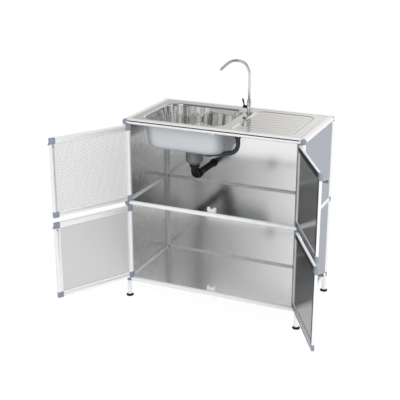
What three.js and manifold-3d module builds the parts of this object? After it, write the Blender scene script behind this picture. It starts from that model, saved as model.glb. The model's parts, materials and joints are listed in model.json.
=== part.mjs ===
// Free-standing kitchen sink unit: a frame of round aluminium tubes plugged into plastic
// connectors, sheet steel panels, four doors, a pressed steel sink top with its waste and
// overflow, and a thin gooseneck tap. Millimetres, +Z up, the front faces -Y.
// The origin is on the floor, at the middle of the unit's box with its doors open.
import * as THREE from 'three';
import { mergeVertices } from 'three/addons/utils/BufferGeometryUtils.js';
import { ParametricGeometry } from 'three/addons/geometries/ParametricGeometry.js';
import Module from 'manifold-3d';

const wasm = await Module();
wasm.setup();

// ---------------------------------------------------------------- driving dimensions
const AXIS_WIDTH = 775;           // between the axes of the left and right posts
const AXIS_DEPTH = 394;           // between the axes of the front and back posts
const BAY_HEIGHT = 357;           // from one level of rails to the next
const BOTTOM_Z = 84;              // axis of the lowest rails above the floor
const FRONT_Y = -46.345;          // front posts' plane: centres the open unit on the origin
const CLEARANCE = 0.3;            // between pieces that touch

const TUBE_R = 9.5;
const TUBE_WALL = 1.4;
const TUBE_SIDES = 16;
const PLUG_R = 7.7;               // plastic plug inside a tube's end
const PLUG_LENGTH = 26;
const VENT_R = 2.5;               // air hole under a back rail
const LEG_BOTTOM = 9;             // lower end of the posts
const BALL_R = 12;
const COVERED_BALL_R = 10.6;      // the back balls, which the sink's corners cover
const SLEEVE_R = 11.3;
const SLEEVE_HALF = 9.3;
const RAIL_END_AT_BALL = 9.7;     // from the post's axis to a rail's end
const RAIL_END_AT_SLEEVE = 11.7;

const SHEET = 1.5;                // panels, shelf and floor
const SIDE_PANEL_OUT = 3;         // the panels stand outside the tubes' axes
const PANEL_EDGE = 9.6;           // from a tube's axis to the edge of a panel
const SHELF_UP = 2;               // shelf and floor above the rails' axes
const CATCH_HALF = 19;            // half width of a catch above its rail
const CATCH_LOW_HALF = 12;        // and of one below it

const DOOR_THICK = 11;
const DOOR_R = DOOR_THICK / 2;
const DOOR_FRAME = 25;            // width of the door's frame
const PIVOT_IN = 17.5;            // hinge pin from the post's axis, sideways
const PIVOT_FRONT = 1;            // and to the front
const DOOR_REACH = AXIS_WIDTH / 2 - PIVOT_IN - 1;
const DOOR_GAP = 11;              // from a rail's axis to the door's edge
const DOOR_HEIGHT = BAY_HEIGHT - 2 * DOOR_GAP;
const DOOR_OPEN = 120;            // degrees, as in the rest pose
const PIN_R = 2;
const PIN_LENGTH = 6;
const KNOB_DROP = 33;             // from the door's top edge to its knob
const SCREW_R = 2;

const DECK_TOP = 10;              // heights of the sink, from the axes of the top rails
const DECK_SHEET = 1.4;
const RIM_TOP = 11.2;
const RIM_IN = 14;                // the raised rim's inner edge inside the rails' axes
const RIM_OUT = 0.5;              // its outer edge beyond the side and back rails' axes
const LIP_OUT = 10.6;             // and beyond the front rail's axis, where it turns down
const LIP_BOTTOM = 8;
const BALL_CUT_R = 13;            // round notches for the front balls
const CORNER_CAP = { outer: 12, inner: 10.9, bottom: -3 };
const BOWL_X = 232;               // bowl centre, from the front left post
const BOWL_Y = 187;
const BOWL_HALF_X = 180;
const BOWL_HALF_Y = 150;
const BOWL_DEPTH = 137;
const DRAINER = { x0: 462, x1: 716, y0: 26, y1: 350, radius: 38, drop: 3 };
const RIDGES = { count: 8, first: 62, pitch: 35.5, x0: 478, x1: 700, radius: 3.4 };

const DRAIN_HOLE_R = 32;
const CUP_R = 38.5;
const CUP_SHOULDER = -197;
const WASTE_BOTTOM = -216;        // end of the waste's neck
const ELBOW_R = 15.5;
const ELBOW_BEND = 27;            // from the elbow's corner to its straight ends
const NUT_LENGTH = 23;
const HOSE_Z = -265;              // axis of the waste hose
const HOSE_R = 14.5;
const HOSE_END = AXIS_DEPTH + 22;
const OVERFLOW_Z = -34;           // overflow hole in the bowl's wall
const OVERFLOW_R = 9.6;
const OVERFLOW_OUT = 19;          // its drop stands outside the bowl's wall
const OVERFLOW_PORT_Z = -160;     // where the pipe meets the waste cup

const TAP_X = 434;                // tap axis, from the front left post
const TAP_Y = 303;
const SPOUT_R = 5.4;
const VALVE_Z = 36;               // axis of the side valve and its lever
const SPOUT_SEAT = 58;            // top of the tap's body, where the spout turns
const LEVER_LEAN = 15;            // degrees outwards from upright

const HALF_WIDTH = AXIS_WIDTH / 2;
const BACK_Y = FRONT_Y + AXIS_DEPTH;
const MID_Z = BOTTOM_Z + BAY_HEIGHT;
const TOP_Z = MID_Z + BAY_HEIGHT;
const LEVELS = { bottom: BOTTOM_Z, mid: MID_Z, top: TOP_Z };
const deg = THREE.MathUtils.degToRad;

// ---------------------------------------------------------------- materials
const MATERIALS = {
  aluminium: { color: 0xdfe1e4, roughness: 0.35, metalness: 1.0 },
  connector: { color: 0x808a9b, roughness: 0.5, metalness: 0.0 },
  steel: { color: 0xb9bbb9, roughness: 0.3, metalness: 1.0 },
  door_sheet: { color: 0xd4d6d7, roughness: 0.4, metalness: 0.9 },
  sink: { color: 0xc4c3bf, roughness: 0.2, metalness: 1.0 },
  chrome: { color: 0xe0e2e4, roughness: 0.06, metalness: 1.0 },
  black_plastic: { color: 0x17181a, roughness: 0.5, metalness: 0.0 },
  grey_plastic: { color: 0x4d5154, roughness: 0.45, metalness: 0.0 },
  white_plastic: { color: 0xf0f1f2, roughness: 0.4, metalness: 0.0 },
  brass: { color: 0x8f8877, roughness: 0.35, metalness: 1.0 },
};

// ---------------------------------------------------------------- solids
const toSolid = (geometry) => {
  const bare = geometry.clone();
  bare.deleteAttribute('normal');
  bare.deleteAttribute('uv');
  const merged = mergeVertices(bare, 1e-4);
  const mesh = new wasm.Mesh({
    numProp: 3,
    vertProperties: new Float32Array(merged.attributes.position.array),
    triVerts: new Uint32Array(merged.index.array),
  });
  return new wasm.Manifold(mesh);
};

const toGeometry = (solid) => {
  const mesh = solid.getMesh();
  const geometry = new THREE.BufferGeometry();
  const points = new Float32Array(mesh.vertProperties);
  geometry.setAttribute('position', new THREE.BufferAttribute(points, 3));
  geometry.setIndex(new THREE.BufferAttribute(new Uint32Array(mesh.triVerts), 1));
  geometry.computeVertexNormals();
  return geometry;
};

// Joins the first geometries and cuts the second ones out of them.
const combine = (joined, cut = []) => {
  let solid = toSolid(joined[0]);
  for (const geometry of joined.slice(1)) solid = solid.add(toSolid(geometry));
  for (const geometry of cut) solid = solid.subtract(toSolid(geometry));
  return toGeometry(solid);
};

const block = (x0, x1, y0, y1, z0, z1) => {
  const geometry = new THREE.BoxGeometry(x1 - x0, y1 - y0, z1 - z0);
  return geometry.translate((x0 + x1) / 2, (y0 + y1) / 2, (z0 + z1) / 2);
};

// A turned piece standing on Z: points are [radius, height], in order round the section.
const turned = (points, sides = TUBE_SIDES) => {
  const profile = points.map(([r, z]) => new THREE.Vector2(r, z));
  return new THREE.LatheGeometry(profile, sides).rotateX(Math.PI / 2);
};

const rod = (radius, z0, z1, sides = TUBE_SIDES) =>
  turned([[0, z0], [radius, z0], [radius, z1], [0, z1]], sides);

const pipe = (outer, inner, z0, z1, sides = TUBE_SIDES) =>
  turned([[inner, z0], [outer, z0], [outer, z1], [inner, z1], [inner, z0]], sides);

// Turns a piece made along Z so that it runs along another axis.
const along = (geometry, axis) => {
  if (axis === '+x') return geometry.rotateY(Math.PI / 2);
  if (axis === '-x') return geometry.rotateY(-Math.PI / 2);
  if (axis === '+y') return geometry.rotateX(-Math.PI / 2);
  if (axis === '-y') return geometry.rotateX(Math.PI / 2);
  return axis === '-z' ? geometry.rotateX(Math.PI) : geometry;
};

const roundedRectangle = (x0, x1, y0, y1, radius) => {
  const shape = new THREE.Shape();
  shape.moveTo(x0 + radius, y0);
  shape.lineTo(x1 - radius, y0);
  shape.absarc(x1 - radius, y0 + radius, radius, -Math.PI / 2, 0);
  shape.lineTo(x1, y1 - radius);
  shape.absarc(x1 - radius, y1 - radius, radius, 0, Math.PI / 2);
  shape.lineTo(x0 + radius, y1);
  shape.absarc(x0 + radius, y1 - radius, radius, Math.PI / 2, Math.PI);
  shape.lineTo(x0, y0 + radius);
  shape.absarc(x0 + radius, y0 + radius, radius, Math.PI, Math.PI * 1.5);
  return shape;
};

const plate = (shape, z0, z1, curveSegments = 6) => {
  const options = { depth: z1 - z0, bevelEnabled: false, curveSegments };
  return new THREE.ExtrudeGeometry(shape, options).translate(0, 0, z0);
};

// A round tube bent along a path.
const bentTube = (path, outer, inner, sides, steps) => {
  const shape = new THREE.Shape().absarc(0, 0, outer, 0, Math.PI * 2);
  if (inner > 0) shape.holes.push(new THREE.Path().absarc(0, 0, inner, 0, Math.PI * 2, true));
  return new THREE.ExtrudeGeometry(shape, { extrudePath: path, steps, curveSegments: sides / 2 });
};

const unit = new THREE.Group();

const place = (name, geometry, material, position = [0, 0, 0], parent = unit) => {
  const finish = new THREE.MeshStandardMaterial(MATERIALS[material]);
  const mesh = new THREE.Mesh(geometry, finish);
  mesh.name = name;
  mesh.position.set(...position);
  parent.add(mesh);
  return mesh;
};

// ---------------------------------------------------------------- frame
// One post runs from the top ball to just above its foot.
const post = () => pipe(TUBE_R, TUBE_R - TUBE_WALL, LEG_BOTTOM, TOP_Z - RAIL_END_AT_BALL);

const railEnd = (level) => (level === 'top' ? RAIL_END_AT_BALL : RAIL_END_AT_SLEEVE);

// The holes in a front rail's underside or top that the doors' hinge pins turn in.
const pinHoles = (level, span) => {
  const holes = [];
  for (const side of [-1, 1]) {
    const x = side * (span / 2 - PIVOT_IN);
    const low = rod(PIN_R + CLEARANCE, -TUBE_R - 1, -TUBE_R + PIN_LENGTH, 12);
    const high = rod(PIN_R + CLEARANCE, TUBE_R - PIN_LENGTH, TUBE_R + 1, 12);
    if (level !== 'bottom') holes.push(low.translate(x, -PIVOT_FRONT, 0));
    if (level !== 'top') holes.push(high.translate(x, -PIVOT_FRONT, 0));
  }
  return holes;
};

const rail = (length, level, axis) => {
  const half = length / 2 - railEnd(level);
  return along(pipe(TUBE_R, TUBE_R - TUBE_WALL, -half, half), axis);
};

// A plug that fills the end of the rail along the given axis.
const plug = (axis, start) => along(rod(PLUG_R, start, PLUG_LENGTH + start, 12), axis);

const sphere = (radius) => new THREE.SphereGeometry(radius, 16, 10).rotateX(Math.PI / 2);

// A corner ball with a plug down the post, one along the front and one along the side.
const ballConnector = (axisX, axisY) => {
  const ball = sphere(axisY === '+y' ? BALL_R : COVERED_BALL_R);
  const plugs = ['-z', axisX, axisY].map((axis) => plug(axis, BALL_R - 4));
  return [[ball, ...plugs], []];
};

// A sleeve round the post, with a plug along the front and one along the side.
const sleeveConnector = (axisX, axisY) => {
  const hole = TUBE_R + CLEARANCE;
  const sleeve = pipe(SLEEVE_R, hole, -SLEEVE_HALF, SLEEVE_HALF);
  const plugs = [axisX, axisY].map((axis) => plug(axis, hole + 0.7));
  return [[sleeve, ...plugs], [rod(hole, -SLEEVE_HALF - 1, SLEEVE_HALF + 1)]];
};

const connector = (level, axisX, axisY) =>
  (level === 'top' ? ballConnector(axisX, axisY) : sleeveConnector(axisX, axisY));

const buildFrame = () => {
  for (const [side, x, inward] of [['left', -HALF_WIDTH, '+x'], ['right', HALF_WIDTH, '-x']]) {
    place(`post_front_${side}`, post(), 'aluminium', [x, FRONT_Y, 0]);
    place(`post_back_${side}`, post(), 'aluminium', [x, BACK_Y, 0]);
    for (const [level, z] of Object.entries(LEVELS)) {
      const sideRail = rail(AXIS_DEPTH, level, '+y');
      place(`rail_${side}_${level}`, sideRail, 'aluminium', [x, (FRONT_Y + BACK_Y) / 2, z]);
      const [joined, cut] = connector(level, inward, '+y');
      const shift = side === 'left' ? HALF_WIDTH : -HALF_WIDTH;
      const pins = pinHoles(level, AXIS_WIDTH).map((hole) => hole.translate(shift, 0, 0));
      const front = combine(joined, [...cut, ...pins]);
      place(`connector_${side}_${level}`, front, 'connector', [x, FRONT_Y, z]);
    }
  }
  for (const [level, z] of Object.entries(LEVELS)) {
    const front = combine([rail(AXIS_WIDTH, level, '+x')], pinHoles(level, AXIS_WIDTH));
    place(`rail_front_${level}`, front, 'aluminium', [0, FRONT_Y, z]);
    place(`rail_back_${level}`, backRail(level), 'aluminium', [0, BACK_Y, z]);
  }
};

// A back rail and the connectors glued to its two ends, as one assembled piece.
const backRail = (level) => {
  const joined = [rail(AXIS_WIDTH, level, '+x')];
  const cuts = [rod(VENT_R, -TUBE_R - 1, -TUBE_R + 3, 12)];
  for (const [x, inward] of [[-HALF_WIDTH, '+x'], [HALF_WIDTH, '-x']]) {
    const [bodies, holes] = connector(level, inward, '-y');
    const seat = along(rod(TUBE_R - 0.2, BALL_R - 4, BALL_R + 4), inward);
    joined.push(...[...bodies, seat].map((body) => body.translate(x, 0, 0)));
    cuts.push(...holes.map((hole) => hole.translate(x, 0, 0)));
  }
  return combine(joined, cuts);
};

// A levelling foot: a black disc on a threaded stem that screws into the post.
const buildFeet = () => {
  const foot = () => turned([
    [0, 0], [15.6, 0], [16.8, 1.4], [16.8, 4], [13.5, 6.6], [4, 7.4], [4, 30], [0, 30],
  ], 20);
  for (const [side, x] of [['left', -HALF_WIDTH], ['right', HALF_WIDTH]]) {
    place(`foot_front_${side}`, foot(), 'black_plastic', [x, FRONT_Y, 0]);
    place(`foot_back_${side}`, foot(), 'black_plastic', [x, BACK_Y, 0]);
  }
};

// ---------------------------------------------------------------- panels
const buildPanels = () => {
  const bays = [['lower', BOTTOM_Z], ['upper', MID_Z]];
  for (const [bay, z] of bays) {
    const z0 = z + PANEL_EDGE;
    const z1 = z + BAY_HEIGHT - PANEL_EDGE;
    for (const [side, sign] of [['left', -1], ['right', 1]]) {
      const x = sign * (HALF_WIDTH + SIDE_PANEL_OUT);
      const y0 = FRONT_Y + PANEL_EDGE;
      const sheet = block(x - SHEET / 2, x + SHEET / 2, y0, BACK_Y - PANEL_EDGE, z0, z1);
      place(`side_panel_${side}_${bay}`, sheet, 'steel');
    }
    const y = BACK_Y + SIDE_PANEL_OUT;
    const span = HALF_WIDTH - PANEL_EDGE;
    const back = block(-span, span, y - SHEET / 2, y + SHEET / 2, z0, z1);
    const hole = along(rod(HOSE_R + 2, -5, 5), '+y');
    hole.translate(BOWL_X - HALF_WIDTH, y, TOP_Z + HOSE_Z);
    place(`back_panel_${bay}`, bay === 'upper' ? combine([back], [hole]) : back, 'steel');
  }
};

const buildShelves = () => {
  const span = HALF_WIDTH - PANEL_EDGE - 0.2;
  const y0 = FRONT_Y + PANEL_EDGE + 0.2;
  const y1 = BACK_Y - PANEL_EDGE - 0.2;
  for (const [name, z] of [['floor_panel', BOTTOM_Z + SHELF_UP], ['shelf', MID_Z + SHELF_UP]]) {
    const sheet = block(-span, span, y0, y1, z - SHEET / 2, z + SHEET / 2);
    const notch = block(-CATCH_HALF - 3, CATCH_HALF + 3, y0 - 1, y0 + 12, z - 3, z + 3);
    place(name, combine([sheet], [notch]), 'steel');
  }
};

// White catches behind the front rails, which stop and hold the closed doors.
const buildCatches = () => {
  const behind = TUBE_R + 0.4;
  const piece = (half, y0, y1, z0, z1) => block(-half, half, y0, y1, z0, z1);
  const upper = () => [piece(CATCH_HALF, behind, 20, 4, 28), piece(CATCH_HALF, 6.4, 11, 11, 28)];
  const lower = () =>
    [piece(CATCH_LOW_HALF, behind, 20, -18, -4), piece(CATCH_LOW_HALF, 6.4, 11, -18, -11)];
  const mid = [...upper(), ...lower(), piece(CATCH_LOW_HALF, behind, 20, -5, 5)];
  place('catch_top', combine(lower()), 'white_plastic', [0, FRONT_Y, TOP_Z]);
  place('catch_mid', combine(mid), 'white_plastic', [0, FRONT_Y, MID_Z]);
  place('catch_bottom', combine(upper()), 'white_plastic', [0, FRONT_Y, BOTTOM_Z]);
};

// ---------------------------------------------------------------- doors
// A door is made closed, from its hinge axis at x = 0 towards the middle of the unit.
const doorFrame = (toMiddle) => {
  const [x0, x1] = toMiddle > 0 ? [0, DOOR_REACH] : [-DOOR_REACH, 0];
  const slab = block(x0, x1, -DOOR_R, DOOR_R, 0, DOOR_HEIGHT);
  const roundEdge = rod(DOOR_R, 0, DOOR_HEIGHT);
  const pin = rod(PIN_R, 2 - PIN_LENGTH, DOOR_HEIGHT + PIN_LENGTH - 2, 12);
  const opening = doorOpening(toMiddle, 0);
  const light = block(opening.x0, opening.x1, -DOOR_R - 1, DOOR_R + 1, opening.z0, opening.z1);
  return combine([slab, roundEdge, pin], [light, knobHole(toMiddle)]);
};

const doorOpening = (toMiddle, inset) => {
  const near = DOOR_FRAME - DOOR_R + inset;
  const far = DOOR_REACH - DOOR_FRAME - inset;
  const [x0, x1] = toMiddle > 0 ? [near, far] : [-far, -near];
  return { x0, x1, z0: DOOR_FRAME + inset, z1: DOOR_HEIGHT - DOOR_FRAME - inset };
};

const doorSheet = (toMiddle) => {
  const { x0, x1, z0, z1 } = doorOpening(toMiddle, CLEARANCE);
  return block(x0, x1, -SHEET / 2, SHEET / 2, z0, z1);
};

const knobPlace = (toMiddle) => [toMiddle * (DOOR_REACH - DOOR_FRAME / 2), DOOR_HEIGHT - KNOB_DROP];

const knobHole = (toMiddle) => {
  const [x, z] = knobPlace(toMiddle);
  return along(rod(SCREW_R + CLEARANCE, -20, 20, 12), '+y').translate(x, 0, z);
};

// A small knob outside, its screw through the frame and the screw's head inside.
const knob = () => {
  const face = DOOR_R + CLEARANCE;
  const profile = [
    [0, -face - 2.6], [3.6, -face - 2.6], [3.6, -face], [SCREW_R, -face], [SCREW_R, face],
    [3.4, face], [3.4, face + 13], [6, face + 15], [6.4, face + 22], [4.8, face + 24.5], [0, face + 24.5],
  ];
  return along(turned(profile, 16), '-y');
};

const buildDoors = () => {
  for (const [side, sign] of [['left', -1], ['right', 1]]) {
    for (const [bay, z] of [['lower', BOTTOM_Z], ['upper', MID_Z]]) {
      const door = new THREE.Group();
      const pivotX = sign * (HALF_WIDTH - PIVOT_IN);
      door.position.set(pivotX, FRONT_Y - PIVOT_FRONT, z + DOOR_GAP);
      door.rotation.z = sign * deg(DOOR_OPEN);
      unit.add(door);
      const name = `door_${side}_${bay}`;
      const [knobX, knobZ] = knobPlace(-sign);
      place(`${name}_frame`, doorFrame(-sign), 'aluminium', [0, 0, 0], door);
      place(`${name}_sheet`, doorSheet(-sign), 'door_sheet', [0, 0, 0], door);
      place(`${name}_knob`, knob(), 'brass', [knobX, 0, knobZ], door);
    }
  }
};

// ---------------------------------------------------------------- sink
// Sink pieces are placed from the front left post's axis at the level of the top rails.
const sinkGroup = new THREE.Group();
sinkGroup.position.set(-HALF_WIDTH, FRONT_Y, TOP_Z);
unit.add(sinkGroup);

const CORNER_STEPS = 5;
const RING = 4 * (CORNER_STEPS + 1);

// A point of a rounded rectangle round the origin, counted round its four corners.
const ringPoint = (step, halfX, halfY, radius) => {
  const corner = Math.floor(step / (CORNER_STEPS + 1)) % 4;
  const turn = (corner + (step % (CORNER_STEPS + 1)) / CORNER_STEPS) * Math.PI / 2;
  const signX = corner === 0 || corner === 3 ? 1 : -1;
  const signY = corner < 2 ? 1 : -1;
  const x = signX * (halfX - radius) + radius * Math.cos(turn);
  const y = signY * (halfY - radius) + radius * Math.sin(turn);
  return [x, y];
};

// The pressed bowl: its wall runs down the inside, to the drain hole, and up the outside.
const bowlShell = () => {
  const bottom = DECK_TOP - BOWL_DEPTH;
  const inside = [
    [BOWL_HALF_X + 9, BOWL_HALF_Y + 9, 64, DECK_TOP],
    [BOWL_HALF_X + 5, BOWL_HALF_Y + 5, 61, DECK_TOP],
    [BOWL_HALF_X + 1.2, BOWL_HALF_Y + 1.2, 58, DECK_TOP - 1.6],
    [BOWL_HALF_X, BOWL_HALF_Y, 57, DECK_TOP - 6],
    [BOWL_HALF_X - 9, BOWL_HALF_Y - 9, 54, bottom + 40],
    [BOWL_HALF_X - 13, BOWL_HALF_Y - 13, 53, bottom + 22],
    [BOWL_HALF_X - 21, BOWL_HALF_Y - 21, 50, bottom + 9.5],
    [BOWL_HALF_X - 34, BOWL_HALF_Y - 34, 44, bottom + 3],
    [BOWL_HALF_X - 50, BOWL_HALF_Y - 50, 38, bottom + 1.5],
    [DRAIN_HOLE_R, DRAIN_HOLE_R, DRAIN_HOLE_R, bottom],
  ];
  const grow = [0, 0, 1, 1.2, 1.2, 1.2, 1, 0.6, 0.2, 0];
  const drop = [1.4, 1.4, 1.0, 0, 0, 0.4, 0.8, 1.2, 1.4, 1.4];
  const outside = inside.map(([hx, hy, r, z], i) =>
    [hx + grow[i], hy + grow[i], r + grow[i], z - drop[i]]);
  const stations = [...inside, ...outside.reverse()];
  const surface = (u, v, target) => {
    const [halfX, halfY, radius, z] = stations[Math.round(v * stations.length) % stations.length];
    const [x, y] = ringPoint(Math.round(u * RING) % RING, halfX, halfY, radius);
    target.set(BOWL_X + x, BOWL_Y + y, z);
  };
  return new ParametricGeometry(surface, RING, stations.length);
};

// The flat top with its raised rim, which turns down over the front rail.
const deckPlate = () => {
  const t = DECK_SHEET;
  const [x0, x1] = [-RIM_OUT, AXIS_WIDTH + RIM_OUT];
  const [y0, y1] = [-RIM_OUT, AXIS_DEPTH + RIM_OUT];
  const [inX0, inX1] = [RIM_IN, AXIS_WIDTH - RIM_IN];
  const [inY0, inY1] = [RIM_IN, AXIS_DEPTH - RIM_IN];
  const rim = toSolid(block(x0, x1, y0, y1, RIM_TOP - t, RIM_TOP))
    .subtract(toSolid(block(inX0, inX1, inY0, inY1, 0, RIM_TOP + 1)));
  const deck = toSolid(block(inX0 - t, inX1 + t, inY0 - t, inY1 + t, DECK_TOP - t, RIM_TOP - 0.1))
    .subtract(toSolid(block(inX0, inX1, inY0, inY1, DECK_TOP, RIM_TOP + 1)));
  const overhang = block(RIM_IN, AXIS_WIDTH - RIM_IN, -LIP_OUT, 1, RIM_TOP - t, RIM_TOP);
  const lip = block(RIM_IN, AXIS_WIDTH - RIM_IN, -LIP_OUT, -LIP_OUT + t, LIP_BOTTOM, RIM_TOP - 0.1);
  return rim.add(deck).add(toSolid(overhang)).add(toSolid(lip));
};

// The drainer is pressed down into the top, with long ridges that the water runs between.
const drainer = () => {
  const { x0, x1, y0, y1, radius, drop } = DRAINER;
  const t = DECK_SHEET;
  const tray = plate(roundedRectangle(x0 - t, x1 + t, y0 - t, y1 + t, radius + t),
    DECK_TOP - t - drop, DECK_TOP - 0.1);
  const hollow = plate(roundedRectangle(x0, x1, y0, y1, radius), DECK_TOP - drop, DECK_TOP + 1);
  let solid = toSolid(tray).subtract(toSolid(hollow));
  for (let i = 0; i < RIDGES.count; i += 1) {
    const y = RIDGES.first + i * RIDGES.pitch;
    const low = DECK_TOP - drop - 0.9;
    const ridge = along(rod(RIDGES.radius, 0, RIDGES.x1 - RIDGES.x0, 12), '+x');
    const upper = block(RIDGES.x0 - 1, RIDGES.x1 + 1, y - 5, y + 5, low, low + 9);
    const bar = toSolid(ridge.translate(RIDGES.x0, y, low)).intersect(toSolid(upper));
    solid = solid.add(bar);
  }
  return solid;
};

const buildSink = () => {
  const { x0, x1, y0, y1, radius } = DRAINER;
  const opening = plate(roundedRectangle(BOWL_X - BOWL_HALF_X - 7, BOWL_X + BOWL_HALF_X + 7,
    BOWL_Y - BOWL_HALF_Y - 7, BOWL_Y + BOWL_HALF_Y + 7, 62), 0, 20, CORNER_STEPS);
  const trayHole = plate(roundedRectangle(x0, x1, y0, y1, radius), 0, 20);
  const tapHole = rod(7, 0, 20).translate(TAP_X, TAP_Y, 0);
  const overflow = along(rod(OVERFLOW_R - 1, -30, 30), '+x')
    .translate(BOWL_X + BOWL_HALF_X, BOWL_Y, OVERFLOW_Z);
  let solid = deckPlate().subtract(toSolid(opening)).subtract(toSolid(trayHole));
  solid = solid.add(toSolid(bowlShell())).add(drainer());
  solid = solid.subtract(toSolid(tapHole)).subtract(toSolid(overflow));
  for (const [x, inward] of [[0, '+x'], [AXIS_WIDTH, '-x']]) {
    solid = solid.subtract(toSolid(rod(BALL_CUT_R, 0, 20, 24).translate(x, 0, 0)));
    solid = solid.subtract(toSolid(sphere(CORNER_CAP.inner).translate(x, AXIS_DEPTH, 0)));
    solid = solid.add(cornerCap(inward).translate([x, AXIS_DEPTH, 0]));
  }
  place('sink_top', toGeometry(solid), 'sink', [0, 0, 0], sinkGroup);
};

// A back corner of the rim is pressed over the corner ball under it.
const cornerCap = (inward) => {
  const { outer, inner, bottom } = CORNER_CAP;
  const dome = toSolid(sphere(outer)).subtract(toSolid(sphere(inner)));
  const upper = toSolid(block(-20, 20, -20, 20, bottom, 20));
  const rails = [inward, '-y'].map((axis) => toSolid(along(rod(TUBE_R + CLEARANCE, 0, 20), axis)));
  return rails.reduce((cap, cut) => cap.subtract(cut), dome.intersect(upper));
};

// ---------------------------------------------------------------- waste and overflow
const BOWL_BOTTOM = DECK_TOP - BOWL_DEPTH;
const UNDER_BOWL = BOWL_BOTTOM - 1.4 - CLEARANCE;

const buildWaste = () => {
  const at = [BOWL_X, BOWL_Y, 0];
  const top = BOWL_BOTTOM + CLEARANCE;
  const flange = turned([
    [29.5, top - 20], [31, top - 20], [31, top], [41, top], [41, top + 0.6], [38, top + 1.8],
    [31.5, top + 1.2], [29.5, top - 2], [29.5, top - 20],
  ], 24);
  place('drain_flange', flange, 'sink', at, sinkGroup);

  const seat = top + 1.5;
  const basket = turned([
    [0, seat - 20], [20, seat - 20], [24, seat - 17], [27.6, seat - 3], [28.6, seat - 2],
    [28.6, seat - 1], [26.6, seat - 1], [22.6, seat - 16], [19.4, seat - 18.8], [4, seat - 18.8],
    [3, seat - 8], [5, seat - 5], [4.4, seat - 2.5], [0, seat - 2],
  ], 24);
  place('strainer_basket', basket, 'sink', at, sinkGroup);

  const low = CUP_SHOULDER;
  const wall = CUP_R - 2.4;
  const cup = turned([
    [16.5, WASTE_BOTTOM], [19, WASTE_BOTTOM], [19, low - 13], [23.5, low - 10], [CUP_R - 3, low],
    [CUP_R, low + 4], [CUP_R, -141], [CUP_R + 3.5, -138], [CUP_R + 3.5, UNDER_BOWL],
    [wall, UNDER_BOWL], [wall, low + 5], [21, low - 8], [16.5, low - 11], [16.5, WASTE_BOTTOM],
  ], 24);
  const port = along(rod(9.5, wall + 0.8, CUP_R + 18, 12), '+x').translate(0, 0, OVERFLOW_PORT_Z);
  const bore = along(rod(7, wall - 4, CUP_R + 20, 12), '+x').translate(0, 0, OVERFLOW_PORT_Z);
  place('waste_cup', combine([cup, port], [bore]), 'grey_plastic', at, sinkGroup);
  buildTrap(at);
  buildOverflow();
};

// The elbow under the waste turns to the back, where the ribbed hose carries on.
const buildTrap = (at) => {
  const bendZ = HOSE_Z + ELBOW_BEND;
  const hoseStart = ELBOW_BEND + 14;
  const start = WASTE_BOTTOM - CLEARANCE - 1;
  const path = new THREE.CurvePath();
  path.add(new THREE.LineCurve3(new THREE.Vector3(0, 0, start), new THREE.Vector3(0, 0, bendZ)));
  const corner = new THREE.Vector3(0, ELBOW_BEND * 0.06, HOSE_Z + ELBOW_BEND * 0.06);
  path.add(new THREE.QuadraticBezierCurve3(new THREE.Vector3(0, 0, bendZ), corner,
    new THREE.Vector3(0, ELBOW_BEND, HOSE_Z)));
  path.add(new THREE.LineCurve3(new THREE.Vector3(0, ELBOW_BEND, HOSE_Z),
    new THREE.Vector3(0, hoseStart, HOSE_Z)));
  const bend = bentTube(path, ELBOW_R, ELBOW_R - 2.2, 16, 12);
  const nut = turned([
    [ELBOW_R - 1, start - 5], [21.6, start - 5], [21.6, WASTE_BOTTOM + 5],
    [19.3, WASTE_BOTTOM + 5], [19.3, start], [ELBOW_R - 1, start], [ELBOW_R - 1, start - 5],
  ], 24);
  place('waste_elbow', combine([bend, nut]), 'black_plastic', at, sinkGroup);

  const nutStart = BOWL_Y + hoseStart - 6;
  const hoseStop = BOWL_Y + hoseStart + CLEARANCE;
  const bore = ELBOW_R + CLEARANCE;
  const ring = along(pipe(20.5, bore, nutStart, nutStart + NUT_LENGTH), '+y');
  place('hose_nut', ring, 'black_plastic', [BOWL_X, 0, HOSE_Z], sinkGroup);
  const hose = along(pipe(HOSE_R, HOSE_R - 3, hoseStop, HOSE_END), '+y');
  place('waste_hose', hose, 'black_plastic', [BOWL_X, 0, HOSE_Z], sinkGroup);
};

// The overflow pipe leaves the bowl's right wall in a wide elbow, drops, and runs back under
// the bowl to the waste cup.
const buildOverflow = () => {
  const wall = BOWL_X + BOWL_HALF_X;
  const drop = wall + OVERFLOW_OUT;
  const point = (x, y, z) => new THREE.Vector3(x, BOWL_Y + y, z);
  const route = new THREE.CatmullRomCurve3([
    point(drop, 0, OVERFLOW_Z - 16), point(drop + 0.5, 0, -80), point(drop + 0.5, 0, -104),
    point(drop - 7, 0, -124), point(drop - 22, 0, -137), point(drop - 44, 0, -143.5),
    point(BOWL_X + 120, 0, -149), point(BOWL_X + 88, 0, -156),
    point(BOWL_X + 72, 0, OVERFLOW_PORT_Z), point(BOWL_X + CUP_R + 18.3, 0, OVERFLOW_PORT_Z),
  ]);
  const hose = bentTube(route, OVERFLOW_R, OVERFLOW_R - 2.4, 12, 24);
  const elbow = turned([[0, -42], [11, -42], [14, -38], [14, 8], [11, 13], [0, 14]], 16)
    .translate(drop, BOWL_Y, OVERFLOW_Z);
  const branch = along(rod(12, 2.6 - OVERFLOW_OUT, -6), '+x')
    .translate(drop, BOWL_Y, OVERFLOW_Z);
  const down = rod(OVERFLOW_R - 2.4, -50, 2).translate(drop, BOWL_Y, OVERFLOW_Z);
  const across = along(rod(9, -30, 0), '+x').translate(drop, BOWL_Y, OVERFLOW_Z);
  const pipeSolid = combine([hose, elbow, branch], [down, across]);
  place('overflow_pipe', pipeSolid, 'grey_plastic', [0, 0, 0], sinkGroup);
};

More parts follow.
